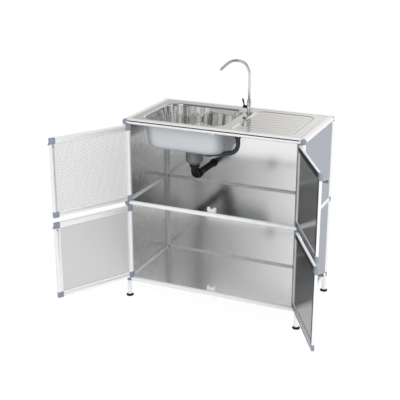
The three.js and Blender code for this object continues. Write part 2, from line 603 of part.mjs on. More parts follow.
// ---------------------------------------------------------------- tap
const buildTap = () => {
  const at = [TAP_X, TAP_Y, 0];
  const foot = DECK_TOP + CLEARANCE;
  const under = DECK_TOP - DECK_SHEET - CLEARANCE;
  const body = turned([
    [0, -34], [5.5, -34], [5.5, -2], [13, -2], [13, under], [5.5, under], [5.5, foot],
    [15, foot], [14.4, foot + 2], [10.5, foot + 4.5], [9, foot + 8], [9, SPOUT_SEAT],
    [0, SPOUT_SEAT],
  ], 20);
  const valve = along(rod(6, 2, 13), '-x').translate(0, 0, VALVE_Z);
  place('tap_body', combine([body, valve]), 'chrome', at, sinkGroup);

  const hub = along(turned([[0, 13.3], [6.2, 13.3], [6.2, 25], [4.5, 27.5], [0, 27.5]]), '-x');
  const arm = turned([[0, 0], [2.4, 0], [2.5, 9], [3.3, 26], [2.4, 30], [0, 31]], 10);
  arm.rotateY(deg(-LEVER_LEAN)).translate(-21.5, 0, 4);
  place('tap_lever', combine([hub, arm]), 'black_plastic',
    [TAP_X, TAP_Y, VALVE_Z], sinkGroup);

  const tube = bentTube(gooseneck(), SPOUT_R, SPOUT_R - 1.2, 12, 28);
  const collar = turned([
    [SPOUT_R - 0.6, SPOUT_SEAT + CLEARANCE], [8.4, SPOUT_SEAT + CLEARANCE],
    [8.4, SPOUT_SEAT + 8], [6.6, SPOUT_SEAT + 11], [SPOUT_R - 0.6, SPOUT_SEAT + 11],
    [SPOUT_R - 0.6, SPOUT_SEAT + CLEARANCE],
  ]);
  place('tap_spout', combine([tube, collar]), 'chrome', at, sinkGroup);
};

// The spout's path: straight up from the collar, over to the left and down again.
const gooseneck = () => {
  const points = [
    [0, 60], [0, 80], [0, 110], [0, 140], [0, 165], [-1.5, 186], [-8, 206], [-21, 221],
    [-40, 229.5], [-61, 230], [-80, 226], [-96, 217.5], [-110, 205.5], [-132, 184.5],
  ];
  return new THREE.CatmullRomCurve3(points.map(([x, z]) => new THREE.Vector3(x, 0, z)));
};

buildFrame();
buildFeet();
buildPanels();
buildShelves();
buildCatches();
buildDoors();
buildSink();
buildWaste();
buildTap();

export default unit;
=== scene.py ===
# A free-standing kitchen sink unit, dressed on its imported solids. +Z is up and the front faces -Y.
# Shapes are written in millimetres and put in place in metres; finishes are in metres throughout.
import json
from math import atan2, cos, hypot, pi, radians, sin

import bmesh
import bpy
from mathutils import Matrix, Vector

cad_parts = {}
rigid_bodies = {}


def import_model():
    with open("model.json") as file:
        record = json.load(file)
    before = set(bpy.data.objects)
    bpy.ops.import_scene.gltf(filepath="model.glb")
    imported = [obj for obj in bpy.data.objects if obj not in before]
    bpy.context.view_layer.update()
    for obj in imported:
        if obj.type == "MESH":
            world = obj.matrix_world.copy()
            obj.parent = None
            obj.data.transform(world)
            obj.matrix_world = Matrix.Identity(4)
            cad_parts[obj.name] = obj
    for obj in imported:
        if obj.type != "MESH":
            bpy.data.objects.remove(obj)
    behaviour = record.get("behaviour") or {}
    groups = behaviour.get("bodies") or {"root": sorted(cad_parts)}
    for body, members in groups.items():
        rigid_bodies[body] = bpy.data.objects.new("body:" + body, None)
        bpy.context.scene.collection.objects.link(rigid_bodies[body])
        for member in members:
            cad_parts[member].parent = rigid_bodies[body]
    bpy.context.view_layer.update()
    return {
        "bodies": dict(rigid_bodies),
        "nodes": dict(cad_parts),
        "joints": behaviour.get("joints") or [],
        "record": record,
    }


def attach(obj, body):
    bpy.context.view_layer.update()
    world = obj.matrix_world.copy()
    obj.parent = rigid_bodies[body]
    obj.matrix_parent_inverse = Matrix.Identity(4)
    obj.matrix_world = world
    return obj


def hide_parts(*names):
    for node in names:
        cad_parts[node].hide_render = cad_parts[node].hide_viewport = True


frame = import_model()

MM = 0.001


# ---- The room ----
# A white sweep of paper with the unit on it. The lamps are large and soft, and a white ground
# is what the eye and the metal see, while the floor still keeps a faint shadow.
def linked(tree, source, socket):
    tree.links.new(source, socket)


def feed(tree, value, socket):
    """Gives a socket a value, or links it to the source that value is."""
    if isinstance(value, bpy.types.NodeSocket):
        linked(tree, value, socket)
    else:
        socket.default_value = value


def node_of(tree, kind, **inputs):
    """Adds a node, with values or sources for its sockets by name."""
    made = tree.nodes.new(kind)
    for name, value in inputs.items():
        feed(tree, value, made.inputs[name.replace("_", " ")])
    return made


def maths(tree, operation, first, second):
    made = tree.nodes.new("ShaderNodeMath")
    made.operation = operation
    feed(tree, first, made.inputs[0])
    feed(tree, second, made.inputs[1])
    return made.outputs[0]


def grey(level):
    return (level, level, level, 1.0)


CAMERA_PLACE = (1.3704, -3.2267, 1.7555)
CAMERA_DOWN, CAMERA_TURN = 0.3463, 0.4192      # radians below level, and round to the left
CAMERA_LENS, SENSOR = 80.69, 36.0

camera = bpy.data.objects.new("camera", bpy.data.cameras.new("camera"))
bpy.context.collection.objects.link(camera)
camera.location = CAMERA_PLACE
camera.rotation_euler = (pi / 2 - CAMERA_DOWN, 0.0, CAMERA_TURN)
camera.data.lens = CAMERA_LENS
camera.data.sensor_width = SENSOR
bpy.context.scene.camera = camera
bpy.context.scene.view_settings.view_transform = "Standard"

DAYLIGHT = 0.6           # what falls on the object from the left
MORE_RIGHT = 0.4         # how much more falls on it from the right

# What polished metal mirrors, as stops of (place, level). MIRRORED goes by how steeply a mirrored
# ray rises, from level or falling at 0 to straight up at 1. IN_FRONT and BEHIND go by its heading
# from left at 0 to right at 1, for rays that leave to the front and to the back of the unit.
MIRRORED = ((0.0, 0.95), (0.4, 0.92), (0.66, 0.45), (0.8, 0.1), (0.88, 0.3), (1.0, 0.7))
IN_FRONT = ((0.27, 0.12), (0.32, 0.14), (0.334, 0.3), (0.35, 0.76), (0.36, 1.0), (0.39, 1.0),
            (0.43, 0.68), (0.6, 0.64), (0.66, 0.56), (0.681, 0.56), (0.688, 0.25), (0.715, 0.2),
            (0.726, 0.66), (0.736, 0.66), (0.744, 0.1), (1.0, 0.1))
BEHIND = ((0.28, 0.6), (0.33, 0.74), (0.352, 0.88), (0.37, 1.0), (0.648, 1.0), (0.66, 0.42),
          (0.715, 0.38), (0.725, 1.0), (0.736, 1.0), (0.743, 0.5), (0.8, 0.8))
BRIGHTEST = 1.5          # what the levels in front are multiplied by
NEAR, FAR = 0.2, 0.5     # where the two sides' levels begin to count, and count in full

world = bpy.data.worlds.new("room")
bpy.context.scene.world = world
world.use_nodes = True
room = world.node_tree
room.nodes.clear()
rays = node_of(room, "ShaderNodeLightPath")
heading = node_of(room, "ShaderNodeTexCoord").outputs["Generated"]
split = node_of(room, "ShaderNodeSeparateXYZ", Vector=heading)


def graded(tree, source, stops):
    """A grey that follows a value through stops of (place, level)."""
    ramp = node_of(tree, "ShaderNodeValToRGB", Fac=source)
    while len(ramp.color_ramp.elements) < len(stops):
        ramp.color_ramp.elements.new(0.5)
    for stop, (place, level) in zip(ramp.color_ramp.elements, stops):
        stop.position = place
        stop.color = grey(level)
    return ramp.outputs["Color"]


def spread(tree, source, low, high, to_low=0.0, to_high=1.0):
    """Turns the range from low to high into the range from to_low to to_high."""
    made = node_of(tree, "ShaderNodeMapRange", Value=source, From_Min=low, From_Max=high,
                   To_Min=to_low, To_Max=to_high)
    return made.outputs[0]


def one_less(tree, value):
    return maths(tree, "SUBTRACT", 1.0, value)


in_front = spread(room, split.outputs["Y"], -NEAR, -FAR)
behind = spread(room, split.outputs["Y"], NEAR, FAR)
across = spread(room, split.outputs["X"], -1.0, 1.0)
front_level = maths(room, "MULTIPLY", graded(room, across, IN_FRONT), BRIGHTEST)
lost = maths(room, "ADD", maths(room, "MULTIPLY", in_front, one_less(room, front_level)),
             maths(room, "MULTIPLY", behind, one_less(room, graded(room, across, BEHIND))))
glossy = maths(room, "MULTIPLY", graded(room, split.outputs["Z"], MIRRORED), one_less(room, lost))
daylight = spread(room, split.outputs["X"], -0.8, 0.8, DAYLIGHT, DAYLIGHT + MORE_RIGHT)
is_mirrored = rays.outputs["Is Glossy Ray"]
level = maths(room, "ADD", maths(room, "MULTIPLY", glossy, is_mirrored),
              maths(room, "MULTIPLY", daylight, one_less(room, is_mirrored)))
level = maths(room, "MAXIMUM", level, rays.outputs["Is Camera Ray"])
glow = node_of(room, "ShaderNodeBackground", Color=grey(1.0), Strength=level)
linked(room, glow.outputs[0], node_of(room, "ShaderNodeOutputWorld").inputs["Surface"])


LAMP_AIM = (0, 0, 0.5)
LAMP_SIZE = 1.6


def lamp(name, place, watts):
    data = bpy.data.lights.new(name, "AREA")
    data.shape = "DISK"
    data.size = LAMP_SIZE
    data.energy = watts
    made = bpy.data.objects.new(name, data)
    bpy.context.collection.objects.link(made)
    made.location = place
    made.rotation_euler = (Vector(LAMP_AIM) - Vector(place)).to_track_quat("-Z", "Y").to_euler()
    made.visible_glossy = False


lamp("key_lamp", (2.6, -2.2, 2.5), 42)
lamp("fill_lamp", (-1.6, -2.6, 2.4), 14)

SWEEP = 30               # from the middle of the paper to its edges
PAPER = 0.78             # its grey where it throws light back onto the unit
PAPER_GLOW = 0.93        # how bright it is to the eye and in the metal, before lamps and shadows
PAPER_LIT = 0.09         # and its grey there, which the lamps light and the unit shades

mesh = bpy.data.meshes.new("floor")
mesh.from_pydata([(-SWEEP, -SWEEP, 0), (SWEEP, -SWEEP, 0), (SWEEP, SWEEP, 0), (-SWEEP, SWEEP, 0)],
                 [], [(0, 1, 2, 3)])
floor = bpy.data.objects.new("floor", mesh)
bpy.context.collection.objects.link(floor)
paper = bpy.data.materials.new("white_paper")
paper.use_nodes = True
tree = paper.node_tree
tree.nodes.clear()
rays = node_of(tree, "ShaderNodeLightPath")
seen = maths(tree, "MAXIMUM", rays.outputs["Is Camera Ray"], maths(
    tree, "MAXIMUM", rays.outputs["Is Glossy Ray"], rays.outputs["Is Transmission Ray"]))
lit = node_of(tree, "ShaderNodeBsdfDiffuse", Color=grey(PAPER))
shown = node_of(tree, "ShaderNodeAddShader")
own_light = node_of(tree, "ShaderNodeEmission", Color=grey(1.0), Strength=PAPER_GLOW)
shaded = node_of(tree, "ShaderNodeBsdfDiffuse", Color=grey(PAPER_LIT))
linked(tree, own_light.outputs[0], shown.inputs[0])
linked(tree, shaded.outputs[0], shown.inputs[1])
choice = node_of(tree, "ShaderNodeMixShader", Fac=seen)
linked(tree, lit.outputs[0], choice.inputs[1])
linked(tree, shown.outputs[0], choice.inputs[2])
linked(tree, choice.outputs[0], node_of(tree, "ShaderNodeOutputMaterial").inputs["Surface"])
mesh.materials.append(paper)


# ---- Levelling feet ----
# Four black discs, each moulded round a threaded stem that screws up into its post. A turn by
# hand levels the unit.
WIDTH, DEPTH = 775.0, 394.0            # between the posts' axes
FRONT_Y = -46.345
BACK_Y = FRONT_Y + DEPTH
LEVELS = {"bottom": 84.0, "mid": 441.0, "top": 798.0}
CORNERS = {"front_left": (-WIDTH / 2, FRONT_Y), "front_right": (WIDTH / 2, FRONT_Y),
           "back_left": (-WIDTH / 2, BACK_Y), "back_right": (WIDTH / 2, BACK_Y)}


def shifted(x, y, z):
    return Matrix.Translation((x, y, z))


def turned(profile, sides=40, start=0.0, sweep=2 * pi):
    """A turned shape about Z: profile is a list of (radius, height)."""
    steps = sides if sweep >= 2 * pi else sides + 1
    verts = []
    for i in range(steps):
        a = start + sweep * i / sides
        verts += [(r * cos(a), r * sin(a), z) for r, z in profile]
    n = len(profile)
    faces = []
    for i in range(sides):
        j = (i + 1) % steps
        faces += [(i * n + k, j * n + k, j * n + k + 1, i * n + k + 1) for k in range(n - 1)]
    return verts, faces


def moved(shape, matrix):
    return [tuple(matrix @ Vector(v)) for v in shape[0]], shape[1]


def together(*shapes):
    verts, faces = [], []
    for some_verts, some_faces in shapes:
        base = len(verts)
        verts += some_verts
        faces += [tuple(base + i for i in face) for face in some_faces]
    return verts, faces


LARGE = 0.004            # square metres: a larger face belongs to a flat sheet, and is shaded flat
SHARP = 32               # degrees: an edge that turns more than this stays sharp


def put(name, shape, finish, body, nodes=(), place=None, sharp=SHARP, second=None):
    """Makes one piece from a shape in millimetres. second is (finish, test of a face)."""
    made = bmesh.new()
    corners = [made.verts.new(Vector(v) * MM) for v in shape[0]]
    for face in shape[1]:
        if len(set(face)) > 2:
            made.faces.new([corners[i] for i in face])
    bmesh.ops.remove_doubles(made, verts=made.verts, dist=1e-6)
    bmesh.ops.dissolve_degenerate(made, edges=made.edges, dist=1e-6)
    bmesh.ops.recalc_face_normals(made, faces=made.faces)
    data = bpy.data.meshes.new(name)
    made.to_mesh(data)
    made.free()
    data.shade_smooth()
    data.set_sharp_from_angle(angle=radians(sharp))
    for face in data.polygons:
        face.use_smooth = face.area < LARGE
    data.materials.append(finish)
    if second:
        data.materials.append(second[0])
        for face in data.polygons:
            if second[1](face):
                face.material_index = 1
    piece = bpy.data.objects.new(name, data)
    bpy.context.collection.objects.link(piece)
    if place:
        piece.matrix_world = place
    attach(piece, body)
    if nodes:
        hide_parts(*nodes)
    return piece


def scaled(tree, colour, factor):
    """A colour made lighter or darker by a factor."""
    made = node_of(tree, "ShaderNodeVectorMath", Vector=colour)
    made.operation = "SCALE"
    linked(tree, factor, made.inputs["Scale"])
    return made.outputs[0]


FINE_SHARE = 0.6         # of a finish's unevenness that comes from its grain
PATCHES = 9.0            # broad patches in a metre


def finish_of(name, colour, metallic, roughness, grain, depth, patchy, uneven=0.06, **sockets):
    """A finish with fine grain in its surface, and broad unevenness in colour and gloss.

    grain is how fine the grain is along X, Y and Z, and depth how deep. patchy and uneven are how
    far the colour and the gloss vary.
    """
    made = bpy.data.materials.new(name)
    made.use_nodes = True
    tree = made.node_tree
    shader = tree.nodes["Principled BSDF"]
    where = node_of(tree, "ShaderNodeTexCoord").outputs["Object"]
    lines = node_of(tree, "ShaderNodeMapping", Vector=where, Scale=grain)
    fine = node_of(tree, "ShaderNodeTexNoise", Vector=lines.outputs[0], Scale=1.0, Detail=4.0)
    broad = node_of(tree, "ShaderNodeTexNoise", Vector=where, Scale=PATCHES, Detail=3.0)
    both = maths(tree, "ADD", maths(tree, "MULTIPLY", fine.outputs["Fac"], FINE_SHARE),
                 maths(tree, "MULTIPLY", broad.outputs["Fac"], 1 - FINE_SHARE))
    tone = spread(tree, both, 0.3, 0.7, 1 - patchy, 1 + patchy)
    linked(tree, scaled(tree, colour, tone), shader.inputs["Base Color"])
    gloss = spread(tree, both, 0.3, 0.7, max(0.02, roughness - uneven), roughness + uneven)
    linked(tree, gloss, shader.inputs["Roughness"])
    bump = node_of(tree, "ShaderNodeBump", Height=fine.outputs["Fac"], Strength=0.5, Distance=depth)
    linked(tree, bump.outputs[0], shader.inputs["Normal"])
    shader.inputs["Metallic"].default_value = metallic
    for socket, value in sockets.items():
        shader.inputs[socket.replace("_", " ")].default_value = value
    return made


black_rubber = finish_of("black_moulding", (0.009, 0.009, 0.01), 0.0, 0.5, (900,) * 3,
                         0.00008, 0.15, Specular_IOR_Level=0.3)

FOOT_TOP, STEM_TOP = 7.4, 30
THREAD_ROOT, THREAD_DEPTH, THREAD_STEP = 3.4, 0.5, 0.74
thread = [(THREAD_ROOT + THREAD_DEPTH * (k % 2), FOOT_TOP + k * THREAD_STEP) for k in range(30)]
FOOT = [(0, 0), (14.8, 0), (15.9, 0.5), (16.6, 1.5), (16.8, 2.6), (16.5, 3.9), (15.2, 5.0),
        (13.4, 5.7), (10.2, 6.4), (6.6, 6.8), (5.4, 7.3), (3.9, FOOT_TOP), *thread, (0, STEM_TOP)]
for corner, (x, y) in CORNERS.items():
    put(f"foot_{corner}_screwed", moved(turned(FOOT), shifted(x, y, 0)), black_rubber,
        f"foot_{corner}", [f"foot_{corner}"])


# ---- Posts and rails ----
# Round satin-anodised aluminium tube, sawn to length and chamfered, pushed onto the plastic
# connectors' plugs. The four posts run the full height, and the rails run between them.
TUBE_R, TUBE_WALL, CHAMFER = 9.5, 1.4, 0.35
POST_FOOT = 9                          # from the floor to a post's lower end
RAIL_END = {"bottom": 11.7, "mid": 11.7, "top": 9.7}       # from a post's axis to a rail's end

anodised = finish_of("anodised_tube", (0.93, 0.933, 0.945), 0.15, 0.36, (700, 700, 700), 0.00002,
                     0.02, Specular_IOR_Level=0.6)


def tube(start, end):
    bore, face = TUBE_R - TUBE_WALL, TUBE_R - CHAMFER
    return turned([(bore, start), (face, start), (TUBE_R, start + CHAMFER), (TUBE_R, end - CHAMFER),
                   (face, end), (bore, end), (bore, start)])


# From along Z to along each other way.
ALONG = {"x": Matrix.Rotation(pi / 2, 4, "Y"), "y": Matrix.Rotation(-pi / 2, 4, "X"),
         "-x": Matrix.Rotation(-pi / 2, 4, "Y"), "-y": Matrix.Rotation(pi / 2, 4, "X"),
         "-z": Matrix.Rotation(pi, 4, "X")}

post = tube(POST_FOOT, LEVELS["top"] - RAIL_END["top"])
for corner, (x, y) in CORNERS.items():
    put(f"post_{corner}_tube", moved(post, shifted(x, y, 0)), anodised, "unit",
        [f"post_{corner}"])
for level, z in LEVELS.items():
    for side, x, y, way, length in (("front", 0, FRONT_Y, "x", WIDTH),
                                    ("back", 0, BACK_Y, "x", WIDTH),
                                    ("left", -WIDTH / 2, (FRONT_Y + BACK_Y) / 2, "y", DEPTH),
                                    ("right", WIDTH / 2, (FRONT_Y + BACK_Y) / 2, "y", DEPTH)):
        half = length / 2 - RAIL_END[level]
        put(f"rail_{side}_{level}_tube", moved(tube(-half, half), shifted(x, y, z) @ ALONG[way]),
            anodised, "unit", [f"rail_{side}_{level}"])


# ---- Connectors ----
# Blue-grey glass-filled plastic. At the top a ball takes the post and two rails, and lower down
# a sleeve is slipped over the post, with a collar towards each rail.
PLUG_R, PLUG_LENGTH, FIN_PITCH = 7.7, 26, 4.6
BALL_R = {"front": 12.0, "back": 10.6}
SLEEVE = [(9.8, -9.3), (10.7, -9.3), (11.3, -8.7), (11.3, -7.4), (10.9, -7.1), (10.9, 7.1),
          (11.3, 7.4), (11.3, 8.7), (10.7, 9.3), (9.8, 9.3), (9.8, -9.3)]

grey_blue = finish_of("connector_plastic", (0.25, 0.29, 0.365), 0.0, 0.28, (1200,) * 3, 0.00003,
                      0.07, 0.08)


def ball(radius, steps=20):
    return turned([(radius * sin(pi * k / steps), -radius * cos(pi * k / steps))
                   for k in range(steps + 1)])


def plug(start):
    """The plug inside a tube's end, with the fins that grip it."""
    points = [(0, start), (PLUG_R - 0.9, start)]
    for k in range(5):
        z = start + 2 + k * FIN_PITCH
        points += [(PLUG_R - 0.9, z), (PLUG_R, z + 0.6), (PLUG_R, z + 2.6), (PLUG_R - 0.9, z + 3.2)]
    end = start + PLUG_LENGTH
    return turned(points + [(PLUG_R - 1.6, end), (0, end)], 28)


def collar(start, end, radius=9.5):
    return turned([(0, start), (radius - 0.6, start), (radius, start + 0.5), (radius, end - 0.15),
                   (radius - 0.3, end), (0, end)])


for corner, (x, y) in CORNERS.items():
    row, side = corner.split("_")
    across = "x" if side == "left" else "-x"
    deep = "y" if row == "front" else "-y"
    for level, z in LEVELS.items():
        if level == "top":
            parts = [ball(BALL_R[row])]
            for way in ("-z", across, deep):
                parts += [moved(plug(8), ALONG[way]), moved(collar(6.0, 9.55), ALONG[way])]
        else:
            parts = [turned(SLEEVE)]
            for way in (across, deep):
                parts += [moved(plug(10.5), ALONG[way]),
                          moved(collar(10.0, 11.55, 9.2), ALONG[way])]
        nodes = [f"connector_{side}_{level}"] if row == "front" else []
        put(f"connector_{corner}_{level}_moulding", moved(together(*parts), shifted(x, y, z)),
            grey_blue, "unit", nodes)


# ---- Panels, shelf and floor ----
# Thin steel sheets, satin polished inside and coated blue-grey outside, held by their edges
# against the tubes. The shelf and the floor lie on the rails and have a notch for the catch.
SHEET = 1.5
EDGE = 9.6                            # from a tube's axis to a panel's edge
PANEL_OUT = 3.0                       # side and back panels stand outside the axes
SHELF_UP, SHELF_EDGE = 2, 9.8         # shelf and floor from the rails' axes, up and to an edge
NOTCH, NOTCH_DEEP = 22.0, 12          # half the width of their notch, and how far it goes in


def block(x0, x1, y0, y1, z0, z1, bevel=0.4, steps=2):
    """A block with rounded edges."""
    made = bmesh.new()
    bmesh.ops.create_cube(made, size=1.0)
    for vert in made.verts:
        vert.co = [(low + high) / 2 + share * (high - low)
                   for low, high, share in zip((x0, y0, z0), (x1, y1, z1), vert.co)]
    bmesh.ops.bevel(made, geom=made.edges[:], offset=bevel, segments=steps, profile=0.5,
                    affect="EDGES", clamp_overlap=True)
    made.verts.index_update()
    verts = [tuple(vert.co) for vert in made.verts]
    faces = [tuple(vert.index for vert in face.verts) for face in made.faces]
    made.free()
    return verts, faces


def extruded(outline, z0, z1, bevel=0.35):
    """A flat plate cut to an outline, with its edges broken."""
    n = len(outline)
    verts, faces = [], []
    for inset, z in ((bevel, z0), (0, z0 + bevel), (0, z1 - bevel), (bevel, z1)):
        for i, (x, y) in enumerate(outline):
            before, after = outline[i - 1], outline[(i + 1) % n]
            d1 = Vector((x - before[0], y - before[1])).normalized()
            d2 = Vector((after[0] - x, after[1] - y)).normalized()
            inward = Vector((-d1.y, d1.x)) + Vector((-d2.y, d2.x))
            inward *= inset / max(1e-6, 0.5 * inward.length_squared)
            verts.append((x + inward.x, y + inward.y, z))
    for k in range(3):
        faces += [(k * n + i, k * n + (i + 1) % n, (k + 1) * n + (i + 1) % n, (k + 1) * n + i)
                  for i in range(n)]
    return verts, faces + [tuple(reversed(range(n))), tuple(range(3 * n, 4 * n))]


satin_inside = finish_of("satin_steel", (0.85, 0.855, 0.85), 1.0, 0.185, (1500, 1500, 25),
                         0.0000015, 0.015, 0.02)
satin_side = finish_of("satin_steel_side", (0.85, 0.855, 0.85), 1.0, 0.27, (1500, 1500, 25),
                       0.0000015, 0.015, 0.02)
satin_shelf = finish_of("satin_steel_shelf", (0.85, 0.855, 0.85), 1.0, 0.185, (25, 1500, 1500),
                        0.000002, 0.015, 0.02)
coated_outside = finish_of("coated_steel", (0.35, 0.37, 0.42), 0.1, 0.4, (1600,) * 3, 0.00003,
                           0.02)

BAYS = {"lower": (LEVELS["bottom"], LEVELS["mid"]), "upper": (LEVELS["mid"], LEVELS["top"])}
for bay, (below, above) in BAYS.items():
    for side, sign in (("left", -1), ("right", 1)):
        x = sign * (WIDTH / 2 + PANEL_OUT)
        sheet = block(x - SHEET / 2, x + SHEET / 2, FRONT_Y + EDGE, BACK_Y - EDGE, below + EDGE,
                      above - EDGE)
        put(f"side_panel_{side}_{bay}_sheet", sheet, satin_side, "unit",
            [f"side_panel_{side}_{bay}"],
            second=(coated_outside, lambda face, sign=sign: face.normal.x * sign > -0.5))

y = BACK_Y + PANEL_OUT
span = WIDTH / 2 - EDGE
low, high = LEVELS["bottom"] + EDGE, LEVELS["mid"] - EDGE
put("back_panel_lower_sheet", block(-span, span, y - SHEET / 2, y + SHEET / 2, low, high),
    satin_inside, "unit", ["back_panel_lower"],
    second=(coated_outside, lambda face: face.normal.y > -0.5))

half = WIDTH / 2 - SHELF_EDGE
y0, y1 = FRONT_Y + SHELF_EDGE, BACK_Y - SHELF_EDGE
outline = [(-half, y0), (-NOTCH, y0), (-NOTCH, y0 + NOTCH_DEEP), (NOTCH, y0 + NOTCH_DEEP),
           (NOTCH, y0), (half, y0), (half, y1), (-half, y1)]
for name, level in (("floor_panel", "bottom"), ("shelf", "mid")):
    z = LEVELS[level] + SHELF_UP
    put(f"{name}_sheet", extruded(outline, z - SHEET / 2, z + SHEET / 2), satin_shelf, "unit",
        [name])

# The upper back panel is drilled for the waste hose, with a black rubber grommet in the hole.
BOWL_X = 232.0                        # the bowl's middle, and the waste's, from the left posts
HOSE_X, HOSE_Z, HOSE_R = BOWL_X - WIDTH / 2, LEVELS["top"] - 265, 14.5


def holed_sheet(x0, x1, z0, z1, hole_x, hole_z, radius, half, sides=48):
    """A sheet in the XZ plane with a round hole, from which its faces fan out to the edges.

    half is half its thickness.
    """
    verts, faces = [], []
    for y in (-half, half):
        for i in range(sides):
            a = 2 * pi * i / sides
            verts.append((hole_x + radius * cos(a), y, hole_z + radius * sin(a)))
        for i in range(sides):
            a = 2 * pi * i / sides
            reach = min((x1 - hole_x if cos(a) > 0 else hole_x - x0) / max(abs(cos(a)), 1e-9),
                        (z1 - hole_z if sin(a) > 0 else hole_z - z0) / max(abs(sin(a)), 1e-9))
            verts.append((hole_x + reach * cos(a), y, hole_z + reach * sin(a)))
    corners = {}
    for x, z in ((x0, z0), (x0, z1), (x1, z0), (x1, z1)):
        turn = atan2(z - hole_z, x - hole_x) % (2 * pi)
        corners[int(turn / (2 * pi) * sides)] = (x, z)
    for k in range(2):
        base = k * 2 * sides
        for i in range(sides):
            j = (i + 1) % sides
            ring = [base + i, base + j, base + sides + j]
            if i in corners:
                verts.append((corners[i][0], (-half, half)[k], corners[i][1]))
                corners[i] = corners[i] + (len(verts) - 1,)
                ring.append(len(verts) - 1)
            faces.append(tuple(ring + [base + sides + i]))
    for i in range(sides):
        j = (i + 1) % sides
        faces.append((i, j, 2 * sides + j, 2 * sides + i))
        a, b = sides + i, sides + j
        if i in corners:
            low, high = corners[i][2], corners[i][3]
            faces += [(a, low, high, a + 2 * sides), (low, b, b + 2 * sides, high)]
        else:
            faces.append((a, b, b + 2 * sides, a + 2 * sides))
    return verts, faces


low, high = LEVELS["mid"] + EDGE, LEVELS["top"] - EDGE
back = holed_sheet(-span, span, low, high, HOSE_X, HOSE_Z, HOSE_R + 2, SHEET / 2)
put("back_panel_upper_sheet", moved(back, shifted(0, BACK_Y + PANEL_OUT, 0)), satin_inside, "unit",
    ["back_panel_upper"],
    second=(coated_outside, lambda face: face.normal.y > 0.5))
grommet = turned([(HOSE_R + 0.25, -2.4), (18.6, -2.4), (19.2, -1.6), (18.8, -0.9), (16.4, -0.9),
                  (16.4, 0.9), (18.8, 0.9), (19.2, 1.6), (18.6, 2.4), (HOSE_R + 0.25, 2.4),
                  (HOSE_R + 0.25, -2.4)])
put("hose_grommet", moved(grommet, shifted(HOSE_X, BACK_Y + PANEL_OUT, HOSE_Z) @ ALONG["y"]),
    black_rubber, "unit")


# ---- Catches ----
# White moulded clips pressed onto the middle of the front rails from behind, which stop and hold
# the doors. The lower rail's clip reaches up, the upper one's down, and the middle one's both ways.
white_clip = finish_of("catch_plastic", (0.82, 0.83, 0.84), 0.0, 0.35, (900,) * 3, 0.00003, 0.02)

ABOVE = [block(-19, -7.5, 9.9, 20, 4, 28, 2.2, 3), block(7.5, 19, 9.9, 20, 4, 28, 2.2, 3),
         block(-18.6, 18.6, 9.7, 19.6, 3.9, 20.5, 1.2, 2), block(-18, -9, 6.4, 11, 12, 26, 1.6, 3),
         block(9, 18, 6.4, 11, 12, 26, 1.6, 3)]
BELOW = [block(-13, 13, 9.9, 20, -18, -4, 2.0, 3), block(-12, -3, 6.4, 11, -17.5, -11, 1.5, 3),
         block(3, 12, 6.4, 11, -17.5, -11, 1.5, 3)]
CLIPS = {"top": BELOW, "mid": ABOVE + BELOW + [block(-12, 12, 9.9, 20, -5, 5, 0.8)],
         "bottom": ABOVE}
for level, parts in CLIPS.items():
    put(f"catch_{level}_clip", moved(together(*parts), shifted(0, FRONT_Y, LEVELS[level])),
        white_clip, "unit", [f"catch_{level}"])


# ---- Doors ----
# Each door is a frame of aluminium bars pushed into plastic corner blocks, with a steel sheet in
# its groove. It turns on two short steel pins in the rails, and has a small knob screwed on.
REACH, HEIGHT = 369.0, 335.0          # from the pivot to the door's free edge, and its height
PIVOT_IN, PIVOT_FRONT = 17.5, 1.0     # the pivot from the post's axis, inwards and forwards
GAP = 11.0                            # from the lower rail's axis to the door's lower edge
OPEN = radians(120)                   # as far as the doors stand open
HINGE_EDGE = 5.5                      # from the pivot to the edge behind it
LONG_BAR, UPRIGHT = (20, 344), (25, 310)          # where the bars start and end
BLOCKS_X, BLOCKS_Z = ((-5.6, 20), (344, 369.3)), ((-0.2, 25), (310, 335.2))
BLOCK_HALF = 5.8                      # half the thickness of a corner block
PANEL_X, PANEL_Z = (19.8, 343.7), (25.3, 309.7)
PIN = [(0, 0), (1.6, 0), (2, 0.4), (2, 6.5), (0, 6.5)]
PIN_OUT = 4                           # how far a pin stands out of its block
KNOB_IN, KNOB_DOWN = 12.5, 33         # the knob from the door's free edge and its top

# The bars' broad faces take copies of the aluminium with their sheen dimmed at a slant, so that they
# go dark there, one copy for the left doors and one for the right: painted shade.
left_bar_faces_shaded = finish_of("door_bar_left_painted_shade", (0.97, 0.975, 0.99), 0.8, 0.4, (700, 700, 700), 0.00001,
                      0.02, Specular_Tint=(0.05, 0.05, 0.055, 1.0), Specular_IOR_Level=0.05)
right_bar_faces_shaded = finish_of("door_bar_right_painted_shade", (0.97, 0.975, 0.99), 0.97, 0.2, (700, 700, 700),
                       0.000004, 0.02, Specular_Tint=(0.04, 0.04, 0.045, 1.0),
                       Specular_IOR_Level=0.05)
# Each door's sheet is its own copy of one steel, set as that door looks under the light: the left
# ones light and matte, painted light, and the right ones dark at a slant, painted shade.
lower_right_sheet_painted_shade = finish_of("lower_right_sheet_painted_shade", (0.8, 0.8, 0.8), 1.0, 0.14, (1500, 1500, 25), 0.000001, 0.015,
                       0.02, Specular_Tint=(0.42, 0.43, 0.44, 1.0))
lower_left_sheet_painted_light = finish_of("door_sheet_lower_left_painted_light", (0.71, 0.71, 0.705), 0.5, 0.45, (1500, 1500, 25),
                       0.00001, 0.015)
upper_right_sheet_painted_shade = finish_of("door_sheet_upper_right_painted_shade", (0.8, 0.8, 0.8), 0.82, 0.14, (1500, 1500, 25), 0.000001,
                       0.015, 0.02, Specular_Tint=(0.5, 0.51, 0.52, 1.0))
upper_left_sheet_painted_light = finish_of("door_sheet_upper_left_painted_light", (0.93, 0.93, 0.93), 0.25, 0.4, (1500, 1500, 25),
                         0.00001, 0.015)
